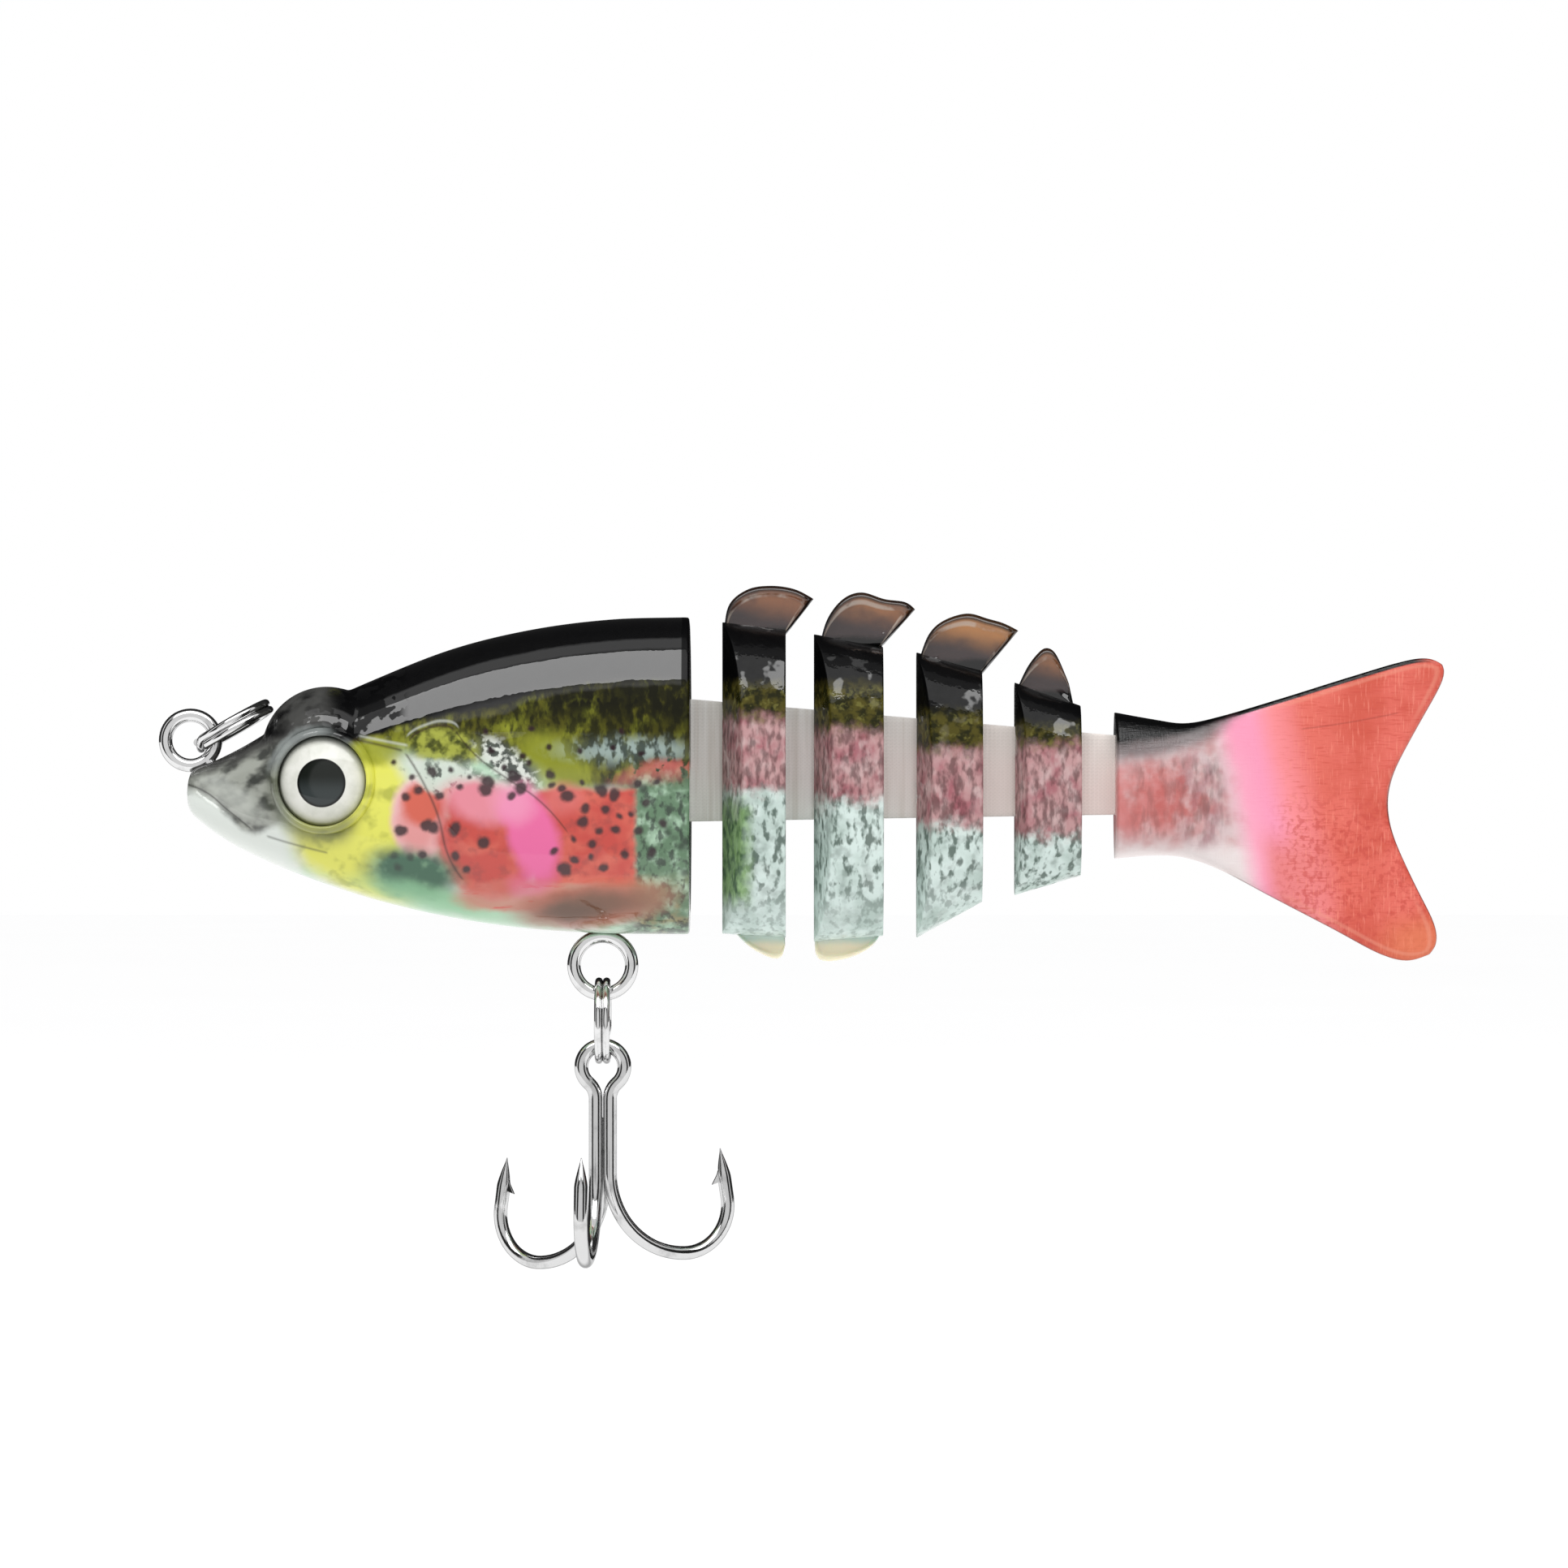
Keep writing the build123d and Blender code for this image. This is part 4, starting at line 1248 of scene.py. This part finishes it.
    def build_eye(self, side: Side, finishes: "Finishes") -> None:
        """Makes one eye: socket ring, printed disc and resin dome."""
        place = self.eye_place(side)
        lip = [
            (1.79, -0.05), (1.795, 0.05), (1.82, 0.11), (1.88, 0.14), (1.95, 0.12), (2.02, 0.05), (2.1, -0.08),
        ]
        profile = [(1.790, -1.25), *lip, (2.10, -1.25), (1.790, -1.25)]
        socket = turned(f"eye_socket_{side.word}", profile, place)
        hand_over(socket, "head", "painted_shell", finishes.head)
        disc = [(0.0, -0.32), (1.64, -0.32), (1.74, -0.34), (1.74, -0.40), (0.0, -0.40)]
        foil = turned(f"eye_disc_{side.word}", disc, place)
        hand_over(foil, "head", "eye_foil", finishes.foil, f"eye_foil_{side.word}")
        rise, reach, base = 0.66, 1.775, -0.27
        ball = (reach**2 + rise**2) / (2 * rise)
        dome = [(0.0, base + rise)]
        for i in range(1, 15):
            r = reach * i / 14
            dome.append((r, base + rise - ball + sqrt(ball * ball - r * r)))
        dome.append((0.0, base))
        lens = turned(f"eye_lens_{side.word}", dome, place)
        hand_over(lens, "head", "eye_resin", finishes.lens, f"eye_dome_{side.word}")


@dataclass
class Plate:
    """A thin fin: an outer edge, a root line and a thickness that swells to a bead along the edge."""

    edge: list[Flat]
    root: tuple[Flat, Flat]
    root_half: float = 0.40
    panel_half: float = 0.24
    bead_half: float = 0.36
    columns: int = 30

    def thickness(self) -> list[tuple[float, float]]:
        """Rows from root to edge: the share of the way out, and the half thickness there."""
        root, panel, bead = self.root_half, self.panel_half, self.bead_half
        return [
            (0.0, root), (0.22, root), (0.34, 0.5 * (root + panel)), (0.5, panel), (0.72, panel), (0.8, panel),
            (0.85, 0.5 * (panel + bead)), (0.9, bead), (0.95, bead * 0.95), (0.985, bead * 0.65),
            (1.0, bead * 0.22),
        ]

    def build(self, name: str) -> Thing:
        """Makes the fin as one closed piece with rounded edges."""
        outer = smooth_line(self.edge, self.columns)
        rings: list[list[Point]] = []
        rims: list[float] = []
        for i, tip in enumerate(outer):
            s = i / (self.columns - 1)
            base = blend_points(*self.root, s)
            end = min(s, 1 - s)
            pinch = 0.25 + 0.75 * sqrt(min(end / 0.06, 1.0))
            row: list[Point] = []
            for t, half in self.thickness():
                x, z = blend_points(base, tip, t)
                row.append((x, half * pinch, z))
                rims.append(max(t, 1 - end * 3))
            rims += rims[-len(row):][::-1]
            rings.append([(x, -y, z) for x, y, z in row] + row[::-1])
        return make_skin(name, rings, rims)


@dataclass
class Segment:
    """One body segment: two clamped halves, a dorsal finlet and, on the first two, a belly fin."""

    number: int
    stations: tuple[Station, Station]
    dorsal: Plate
    paint: SegmentPaint
    smoke: FinletPaint
    belly: Optional[Plate] = None
    clamp_half: float = 0.80
    bevel: float = 18.0
    rows: int = 33

    def slice_points(self, angle: float, side: Side, pole: bool) -> list[Point]:
        """One level of a half: its points from the middle plane, round the flank and back.

        Args:
            angle: the level's place in the oval, from -90 degrees at the bottom to 90 at the top.
            side: which half.
            pole: whether this is the very bottom or top.

        Returns:
            The points in mm.
        """
        front, rear = self.stations
        across = 0.0 if pole else signed_power(cos(angle), 2 / PLUMP)
        up = signed_power(sin(angle), 2 / PLUMP)

        def at(x: float, share: float, inset: float = 0.0) -> Point:
            """A point at x, a share of the way out to the flank."""
            t = (x - front[0]) / (rear[0] - front[0])
            top, bottom, width = (front[k] + (rear[k] - front[k]) * t for k in (1, 2, 3))
            y = max(across * width * share - inset, 0.0)
            return x, side.value * y, (top + bottom) / 2 + up * (top - bottom) / 2

        slope = tan(radians(self.bevel))
        clamp = min(self.clamp_half / max(across * front[3], 0.01), 1.0)
        flank = front[0] + max(across * front[3] - self.clamp_half, 0.0) * slope
        span = rear[0] - flank
        face, back = front[0], rear[0]
        outside = 1 - clamp
        return [
            at(face, 0.0), at(face, clamp * 0.5), at(face, clamp * 0.94), at(face + 0.01, clamp),
            at(face + (flank - face) * 0.5, clamp + outside * 0.5),
            at(face + (flank - face) * 0.94, clamp + outside * 0.94), at(flank + 0.03, 1.0, 0.015),
            at(flank + 0.12, 1.0), at(flank + span * 0.35, 1.0), at(flank + span * 0.65, 1.0),
            at(back - 0.1, 1.0), at(back - 0.01, 1.0, 0.02), at(back, 0.94), at(back, 0.5), at(back, 0.0),
        ]

    def build(self, finishes: "Finishes") -> None:
        """Makes both halves and the fins of this segment."""
        body = f"segment_{self.number}"
        finish = self.paint.material(f"trout_segment_{self.number}_paint", self.stations[0][0])
        for side in Side:
            rings = []
            for j in range(self.rows):
                angle = pi * (j / (self.rows - 1) - 0.5)
                rings.append(self.slice_points(angle, side, j in (0, self.rows - 1)))
            half = make_skin(f"{body}_skin_{side.word}", rings, capped=False)
            hand_over(half, body, "painted_shell", finish, f"{body}_{side.word}")
        fin = self.dorsal.build(f"finlet_{self.number}")
        hand_over(fin, body, "painted_shell", self.smoke.material(f"smoky_fin_plastic_{self.number}"))
        if self.belly:
            hand_over(self.belly.build(f"belly_fin_{self.number}"), body, "painted_shell", finishes.belly_fin)


@dataclass
class Tail:
    """The tail: a stem that flattens into a forked fin, in two halves."""

    stem: list[Station] = field(
        default_factory=lambda: [
            (36.75, 1.12, -4.72, 1.62), (38.6, 0.78, -4.6, 1.28), (40.6, 0.82, -4.9, 0.78),
            (42.6, 1.4, -6.0, 0.5), (45.0, 2.2, -7.3, 0.4), (50.0, 3.2, -8.6, 0.3),
        ]
    )
    top_edge: list[Flat] = field(
        default_factory=lambda: [
            (36.75, 1.12), (38.3, 0.84), (39.57, 0.68), (41.0, 0.96), (43.44, 1.68), (46.0, 2.48), (48.3, 3.16),
            (49.26, 3.26), (49.8, 3.02),
        ]
    )
    bottom_edge: list[Flat] = field(
        default_factory=lambda: [
            (36.75, -4.72), (38.3, -4.59), (39.57, -4.68), (41.0, -5.18), (43.0, -6.24), (45.4, -7.49),
            (47.3, -8.5), (48.4, -8.78), (49.3, -8.52),
        ]
    )
    rear_edge: list[Flat] = field(
        default_factory=lambda: [
            (49.3, -8.52), (49.6, -8.0), (49.45, -7.2), (48.6, -5.5), (47.66, -3.3), (47.66, -1.8),
            (48.5, -0.05), (49.7, 2.1), (49.88, 2.7), (49.8, 3.02),
        ]
    )
    columns: int = 52
    rows: int = 31
    rear_steps: int = 96
    length: float = 13.0
    rim_width: float = 0.6

    def rings(self, side: Side) -> tuple[list[list[Point]], list[float]]:
        """The skin's points for one side, from the stem to the fork, and how near the edge each lies."""
        tops = smooth_line(self.top_edge, self.columns)
        bottoms = smooth_line(self.bottom_edge, self.columns)
        rears = smooth_line(self.rear_edge, self.rear_steps + 1)
        corners = (self.bottom_edge[0], self.top_edge[0], self.bottom_edge[-1], self.top_edge[-1])
        rings, rims = [], []
        steps = [i / (self.columns - 1) for i in range(self.columns)]
        steps.insert(-1, 1 - 0.25 / self.columns)
        for n, u in enumerate(steps):
            k = min(int(u * (self.columns - 1)), self.columns - 2)
            part = u * (self.columns - 1) - k
            top, bottom = (blend_points(line[k], line[k + 1], part) for line in (tops, bottoms))
            power = PLUMP + 3.5 * ease(0.15, 0.5, u)
            ring = []
            for j in range(self.rows):
                height = sin(pi * (j / (self.rows - 1) - 0.5))
                height = 0.35 * height + 0.65 * signed_power(height, 0.75)
                v = 0.5 + 0.5 * height
                across = 0.0 if j in (0, self.rows - 1) else (1 - abs(height) ** power) ** (1 / power)
                rear = rears[min(int(round(v * self.rear_steps)), self.rear_steps)]
                front = blend_points(*corners[:2], v)
                flats = (
                    blend_points(bottom, top, v), blend_points(front, rear, u),
                    blend_points(front, blend_points(*corners[2:], v), u),
                )
                x, z = (flats[0][a] + flats[1][a] - flats[2][a] for a in (0, 1))
                width = read_stations(self.stem, min(x, 49.9))[2]
                width *= 1.0 if u < 0.985 else (0.85 if n < len(steps) - 1 else 0.35)
                ring.append((x, side.value * across * width, z))
                edge = min(min(v, 1 - v) * (top[1] - bottom[1]), (1 - u) * self.length)
                rims.append(max(1 - edge / self.rim_width, 0.0))
            rims += rims[-2:-self.rows:-1]
            rings.append(ring + flat_line([(x, z) for x, _, z in ring[-2:0:-1]]))
        return rings, rims

    def build(self, finishes: "Finishes") -> None:
        """Makes both halves."""
        for side in Side:
            half = make_skin(f"tail_skin_{side.word}", *self.rings(side))
            hand_over(half, "tail", "painted_shell", finishes.tail, f"tail_{side.word}")


@dataclass
class Ribbon:
    """The woven ribbon, made as one piece for each gap."""

    top: tuple[Flat, Flat] = ((17.60, 1.86), (38.80, 0.06))
    bottom: tuple[Flat, Flat] = ((17.60, -3.30), (38.80, -2.96))
    gaps: list[Flat] = field(default_factory=lambda: [
        (19.90, 21.16), (23.68, 24.80), (27.55, 28.88), (31.48, 32.79), (35.40, 36.75),
    ])
    half_thick: float = 0.19
    tuck: float = 0.9
    inset: float = 0.03
    edge_bevel: float = 0.05
    columns: int = 18
    rows: int = 15

    def height(self, line: tuple[Flat, Flat], x: float) -> float:
        """The ribbon's edge at x."""
        (x0, z0), (x1, z1) = line
        return z0 + (z1 - z0) * (x - x0) / (x1 - x0)

    def build(self, finishes: "Finishes") -> None:
        """Makes the five lengths."""
        stand_for = [("ribbon_head", "ribbon_1"), ("ribbon_2",), ("ribbon_3",), ("ribbon_4",), ("ribbon_tail",)]
        for i, (start, end) in enumerate(self.gaps):
            points, faces = [], []
            for k in range(self.columns):
                x = start - self.tuck + (end - start + 2 * self.tuck) * k / (self.columns - 1)
                low, high = self.height(self.bottom, x) + self.inset, self.height(self.top, x) - self.inset
                for j in range(self.rows):
                    points.append((x, 0.0, low + (high - low) * j / (self.rows - 1)))
            for k in range(self.columns - 1):
                for j in range(self.rows - 1):
                    a = k * self.rows + j
                    faces.append([a, a + 1, a + self.rows + 1, a + self.rows])
            tape = make_mesh(f"ribbon_gap_{i + 1}", points, faces)
            wall = tape.modifiers.new("Solidify", "SOLIDIFY")
            wall.thickness = 2 * self.half_thick * MM
            wall.offset = 0
            soften = tape.modifiers.new("Bevel", "BEVEL")
            soften.width = self.edge_bevel * MM
            soften.segments = 2
            soften.limit_method = "ANGLE"
            mesh = baked(tape)
            tape.modifiers.clear()
            tape.data = mesh
            dress(tape, finishes.ribbon)
            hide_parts(*stand_for[i])
            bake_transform(tape)


@dataclass
class Hardware:
    """Wire eyes, split rings and treble hook."""

    wire_radius: float = 0.27
    tie_radius: float = 1.00
    hanger: Point = (16.40, 0.0, -8.95)
    hanger_radius: float = 1.15
    ring_mean: float = 1.57
    ring_wire: float = 0.155
    nose_pivot: Flat = (0.34, -0.22)
    nose_lean: float = 30.0
    belly_ring_z: float = -11.16
    hook_radius: float = 0.275
    hook_eye_z: float = -12.995
    hook_eye_radius: float = 0.86
    neck_bend: float = 0.80
    shank_offset: float = 0.285
    hook_bottom_z: float = -20.50
    heel_bend: float = 3.28
    front_bend: float = 1.87
    point_z: float = -16.35
    point_lean: float = 9.0
    taper: float = 1.15
    barb_half: float = 0.07
    turns: tuple[float, float, float] = (-95.0, 25.0, 145.0)
    braze_drop: float = 0.45
    coil_gap: float = 0.34
    coil_points: int = 150
    eye_points: int = 48
    coil_turns: Flat = (200.0, 60.0)

    def split_ring(self, name: str, place: Matrix) -> Thing:
        """A split ring: nearly two turns of wire, side by side, crossing over in a short step.

        Args:
            name: the piece's name.
            place: where the ring's axis goes, in mm.

        Returns:
            The curve object.
        """
        step, count = self.coil_gap, self.coil_points
        line = []
        for i in range(count):
            turn = step + (4 * pi - 2 * step) * i / (count - 1)
            offset = -self.ring_wire + 2 * self.ring_wire * ease(2 * pi - step, 2 * pi + step, turn)
            line.append((self.ring_mean * cos(turn), self.ring_mean * sin(turn), offset * 0.98))
        return wire(name, moved_line(place, line), self.ring_wire)

    def hook_line(self) -> tuple[list[Flat], list[float]]:
        """One hook's middle line from its shank to its point, and its taper."""
        lean = radians(self.point_lean)
        line: list[Flat] = [(0.0, -14.6), (0.0, -15.8)]
        line += arc((self.heel_bend, self.hook_bottom_z + self.heel_bend), self.heel_bend, 180, 270, 22)
        front = arc(
            (self.heel_bend, self.hook_bottom_z + self.front_bend), self.front_bend, 270, 360 + self.point_lean,
            20,
        )
        line += front[1:]
        outer = line[-1]
        leg = (self.point_z - outer[1]) / cos(lean)
        tip = (outer[0] - sin(lean) * leg, self.point_z)
        start = (tip[0] + sin(lean) * self.taper, tip[1] - cos(lean) * self.taper)
        radii = [1.0] * len(line)
        for k in range(9):
            line.append(blend_points(start, tip, k / 8))
            radii.append(max(1 - (k / 8) ** 1.3, 0.06))
        return line, radii

    def hook_place(self, turn: float, spot: Point) -> Matrix:
        """Where a hook's shank stands, in mm, and how its bend is turned about it."""
        shift = Matrix.Translation((self.hanger[0] + spot[0], spot[1], -spot[2]))
        return shift @ Matrix.Rotation(radians(turn), 4, "Z")

    def hook_path(self, place: Matrix) -> tuple[list[Point], list[float]]:
        """One placed hook, from its shank's top to its point, and its taper."""
        line, radii = self.hook_line()
        return moved_line(place, flat_line(line)), radii

    def barb(self, name: str, place: Matrix) -> Thing:
        """The barb cut up from one hook's point."""
        line, _ = self.hook_line()
        tip, below = line[-1], line[-9]
        ux, uz = (tip[0] - below[0]) / self.taper, (tip[1] - below[1]) / self.taper
        steps = ((0.55, 0.06, 0.0), (1.05, 0.30, 0.0), (1.50, 0.60, 0.02), (1.35, 0.22, 0.0), (1.25, 0.0, 0.0))
        outline = [(tip[0] - ux * down - out, tip[1] - uz * down + up) for down, out, up in steps]
        points = []
        for y in (-self.barb_half, self.barb_half):
            points += [(x, y * (1.6 if x > outline[1][0] else 0.7), z) for x, z in outline]
        n = len(outline)
        faces = [list(range(n)), list(range(2 * n - 1, n - 1, -1))]
        faces += [[i, (i + 1) % n, n + (i + 1) % n, n + i] for i in range(n)]
        barb = make_mesh(name, moved_line(place, points), faces)
        edge = barb.modifiers.new("Bevel", "BEVEL")
        edge.width = 0.02 * MM
        edge.segments = 2
        return barb

    def eye_line(self) -> list[Point]:
        """The treble's eye, from the near hook's shank, round and down to the rear hook's."""
        across = self.shank_offset + self.neck_bend
        between = self.hook_eye_radius + self.neck_bend
        drop = sqrt(between**2 - across**2)
        tilt = degrees(atan2(drop, across))
        neck_z = self.hook_eye_z - drop
        left = arc((-across, neck_z), self.neck_bend, 0, tilt, 8)
        over = arc((0, self.hook_eye_z), self.hook_eye_radius, 180 + tilt, -tilt, 40)
        right = [(-x, z) for x, z in reversed(left)]
        return flat_line([(self.hanger[0] + x, z) for x, z in left + over[1:-1] + right])

    def build_treble(self, finishes: "Finishes") -> None:
        """Makes the treble: one wire bent into two hooks and an eye, a third hook brazed on, and barbs."""
        s = self.shank_offset
        near = self.hook_place(self.turns[0], (-s, 0.0, 0.0))
        rear = self.hook_place(self.turns[1], (s, 0.0, 0.0))
        third = self.hook_place(self.turns[2], (0.0, s * sqrt(3), self.braze_drop))
        near_path, radii = self.hook_path(near)
        eye = self.eye_line()
        path = near_path[::-1] + eye + self.hook_path(rear)[0]
        double = wire(
            "treble_double_wire", path, self.hook_radius, radii=radii[::-1] + [1.0] * len(eye) + radii,
        )
        hand_over(double, "treble", "hook_wire", finishes.hook, "treble_double_hook")
        single = wire("treble_brazed_wire", self.hook_path(third)[0], self.hook_radius, radii=radii)
        hand_over(single, "treble", "hook_wire", finishes.hook, "treble_single_hook")
        for word, place in (("near", near), ("rear", rear), ("brazed", third)):
            hand_over(self.barb(f"treble_barb_{word}", place), "treble", "hook_wire", finishes.hook)

    def build(self, finishes: "Finishes") -> None:
        """Makes every metal piece."""
        hx, _, hz = self.hanger
        eyes = (
            ("line_tie_eye", (0, 0), self.tie_radius, "line_tie"),
            ("belly_hanger_eye", (hx, hz), self.hanger_radius, "hook_hanger"),
        )
        for name, centre, radius, node in eyes:
            round_line = arc(centre, radius, 0, 360 - 360 / self.eye_points, self.eye_points)
            loop = wire(name, flat_line(round_line), self.wire_radius, True)
            hand_over(loop, "head", "wire", finishes.nickel, node)
        neck = wire("line_tie_neck", flat_line([(0.60, -0.72), (0.95, -1.15), (1.20, -1.46)]), self.wire_radius)
        hand_over(neck, "head", "wire", finishes.nickel)
        lean = radians(self.nose_lean)
        px, pz = self.nose_pivot
        nose = (px + self.ring_mean * cos(lean), 0, pz + self.ring_mean * sin(lean))
        rings = (("nose", nose, -lean), ("belly", (hx, 0, self.belly_ring_z), radians(90)))
        for (word, centre, tilt), turn in zip(rings, self.coil_turns):
            stand = Matrix.Translation(centre) @ Matrix.Rotation(tilt, 4, "Y")
            ring = self.split_ring(f"{word}_ring_coil", stand @ Matrix.Rotation(radians(turn), 4, "Z"))
            hand_over(ring, f"{word}_ring", "wire", finishes.nickel, f"{word}_split_ring")
        self.build_treble(finishes)


@dataclass(frozen=True)
class Finishes:
    """Every finish that more than one piece shares."""

    head: Material
    tail: Material
    belly_fin: Material
    ribbon: Material
    nickel: Material
    hook: Material
    foil: Material
    lens: Material
    ballast: Material

    @classmethod
    def mix(cls) -> "Finishes":
        """Makes them all."""
        return cls(
            head=HeadPaint().material(), tail=TailPaint().material(),
            belly_fin=PlasticPaint(
                "amber_fin_plastic", tint(200, 220, 206), PALETTE.amber, -7.85, -8.25,
            ).material(),
            ribbon=WovenTape().material(), nickel=Nickel("bright_nickel", 226, 0.04).material(),
            hook=Nickel("hook_nickel", 214, 0.06).material(), foil=EyePrint().material("printed_eye_foil", 0.0),
            lens=EyePrint().material("eye_under_resin", 0.45),
            ballast=Nickel("ballast_steel", 150, 0.25).material(),
        )


# ------------------------------------------------------------------ the lure and its studio


def build_segments(finishes: Finishes) -> None:
    """Makes the four segments."""
    segments = [
        Segment(
            1, ((21.16, 4.7, -7.7, 3.3), (23.68, 4.42, -7.86, 3.1)),
            Plate(
                [(21.2, 4.05), (21.4, 5.35), (22.15, 6.0), (23.1, 6.15), (24.05, 6.01), (24.8, 5.62)],
                ((21.5, 3.7), (23.62, 4.1)),
            ),
            SegmentPaint(2.35, 0.95, -2.0, leafy=0.9), FinletPaint(21.2, 4.25, 6.1, 0.15),
            Plate(
                [(21.55, -7.55), (22.2, -8.2), (23.05, -8.66), (23.5, -8.64), (23.66, -8.2)],
                ((21.8, -7.2), (23.64, -7.3)),
            ),
        ),
        Segment(
            2, ((24.8, 4.22, -8.02, 2.98), (27.55, 3.72, -7.8, 2.72)),
            Plate(
                [
                    (24.98, 3.6), (25.32, 4.8), (25.95, 5.62), (26.7, 5.89), (27.6, 5.62), (28.45, 5.5),
                    (28.84, 5.2),
                ],
                ((25.2, 3.3), (27.5, 3.7)),
            ),
            SegmentPaint(2.3, 0.4, -2.35), FinletPaint(25.0, 3.9, 5.9, 0.35),
            Plate(
                [(24.82, -7.6), (24.86, -8.5), (25.25, -8.8), (26.3, -8.64), (27.15, -8.17), (27.5, -7.6)],
                ((25.0, -7.2), (27.4, -7.2)),
            ),
        ),
        Segment(
            3, ((28.88, 3.5, -7.86, 2.58), (31.48, 2.78, -6.44, 2.28)),
            Plate(
                [
                    (28.98, 3.2), (29.36, 4.2), (29.95, 4.76), (30.9, 5.05), (31.72, 4.84), (32.35, 4.66),
                    (32.95, 4.36),
                ],
                ((29.2, 2.8), (31.4, 2.5)),
            ),
            SegmentPaint(1.25, -0.35, -3.4), FinletPaint(29.0, 3.0, 5.05, 0.85),
        ),
        Segment(
            4, ((32.79, 2.3, -6.16, 2.12), (35.4, 1.38, -5.39, 1.8)),
            Plate(
                [(32.88, 2.05), (33.3, 2.92), (33.75, 3.5), (34.08, 3.68), (34.45, 3.4), (34.95, 2.25)],
                ((33.0, 1.6), (35.2, 1.1)),
            ),
            SegmentPaint(0.75, -0.15, -3.8), FinletPaint(32.9, 1.75, 3.65, 0.35),
        ),
    ]
    for segment in segments:
        segment.build(finishes)


def dress_cad_nodes(finishes: Finishes) -> None:
    """Gives the hidden CAD nodes that stay their finish."""
    for name in ("ballast_ball_front", "ballast_ball_rear"):
        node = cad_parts[name]
        dress(node, finishes.ballast)
        LOG.info("%s keeps its CAD shape", name)


@dataclass
class Studio:
    """Pale lit floor, white surround and one long softbox."""

    floor_z: float = -0.030
    look_at: Point = (0.02361, 0.0, -0.00174)
    frame_width: float = 0.0624
    lens: float = 150.0
    sensor: float = 36.0
    floor_glow: float = 0.86
    light_place: Point = (0.02, -0.185, 0.235)
    light_size: Flat = (0.42, 0.15)
    light_power: float = 0.86
    tones: tuple[Flat, ...] = (
        (0.02, 0.8), (0.09, 0.8), (0.12, 0.1), (0.15, 0.02), (0.29, 0.02), (0.33, 0.8), (0.43, 0.8),
        (0.47, 0.03),
    )

    def build(self) -> None:
        """Makes the floor, the world, the light and the camera."""
        bpy.ops.mesh.primitive_plane_add(size=1.2, location=(0, 0.55, self.floor_z))
        floor = bpy.context.object
        floor.name = "studio_floor"
        p = Paint("pale_floor")
        p.coat = p.over((0.26, 0.26, 0.26), (0.30, 0.30, 0.30), p.noise(0.02))
        p.shade({"Emission Color": (1, 1, 1), "Emission Strength": self.floor_glow})
        dress(floor, p.finish(0.9))
        self.softbox()
        self.surround()
        camera = add_object("camera", bpy.data.cameras.new("camera"))
        camera.data.lens = self.lens
        camera.data.sensor_width = self.sensor
        distance = self.frame_width * self.lens / self.sensor
        camera.location = (self.look_at[0], -distance, self.look_at[2])
        camera.rotation_euler = (radians(90), 0, 0)
        camera.data.clip_start = 0.01
        camera.data.clip_end = 20
        bpy.context.scene.camera = camera
        bpy.context.scene.view_settings.view_transform = "Standard"

    def softbox(self) -> None:
        """A rectangular light aimed at the lure."""
        lamp = add_object("softbox", bpy.data.lights.new("softbox", "AREA"))
        lamp.data.shape = "RECTANGLE"
        lamp.data.size, lamp.data.size_y = self.light_size
        lamp.data.energy = self.light_power
        lamp.location = self.light_place
        aim = Vector(self.look_at) - Vector(self.light_place)
        lamp.rotation_euler = aim.to_track_quat("-Z", "Y").to_euler()

    def surround(self) -> None:
        """A white tent. Glossy surfaces see it in light and dark bands, which draw lines along the wires."""
        world = bpy.data.worlds.new("tent")
        bpy.context.scene.world = world
        world.use_nodes = True
        tree = world.node_tree
        tree.nodes.clear()
        generated = add_node(tree, "TexCoord", {}).outputs["Generated"]
        along = add_node(tree, "SeparateXYZ", {0: generated}).outputs[1]
        share = add_node(tree, "MapRange", {"From Min": -1, "Value": along}).outputs[0]
        ramp = add_node(tree, "ValToRGB", {0: share})
        elements = ramp.color_ramp.elements
        elements[0].color = (0.8, 0.8, 0.8, 1)
        elements[1].color = (0.03, 0.03, 0.03, 1)
        for position, tone in self.tones:
            elements.new(position).color = (tone, tone, tone, 1)
        rays = add_node(tree, "LightPath", {}).outputs
        soft = self.choose(tree, rays["Is Diffuse Ray"], ramp.outputs[0], (0.42, 0.42, 0.43))
        seen = self.choose(tree, rays["Is Camera Ray"], soft, (1, 1, 1))
        shade = add_node(tree, "Background", {"Color": seen})
        add_node(tree, "OutputWorld", {"Surface": shade.outputs[0]})

    def choose(self, tree: Tree, when: Socket, other: Socket, colour: Colour) -> Socket:
        """A colour for one kind of ray, and another socket for the rest."""
        return add_node(tree, "Mix", {"Factor": when, 6: other, 7: colour}, data_type="RGBA").outputs[2]


def corners(box: tuple[Vector, Vector]) -> list[list[float]]:
    """A box as plain lists."""
    return [list(box[0]), list(box[1])]


def main() -> None:
    """Builds the lure piece by piece, then its studio."""
    logging.basicConfig(level=logging.INFO, format="%(name)s: %(message)s")
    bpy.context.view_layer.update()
    finishes = Finishes.mix()
    Head().build(finishes)
    build_segments(finishes)
    Tail().build(finishes)
    Ribbon().build(finishes)
    Hardware().build(finishes)
    dress_cad_nodes(finishes)
    Studio().build()


if __name__ == "__main__":
    main()
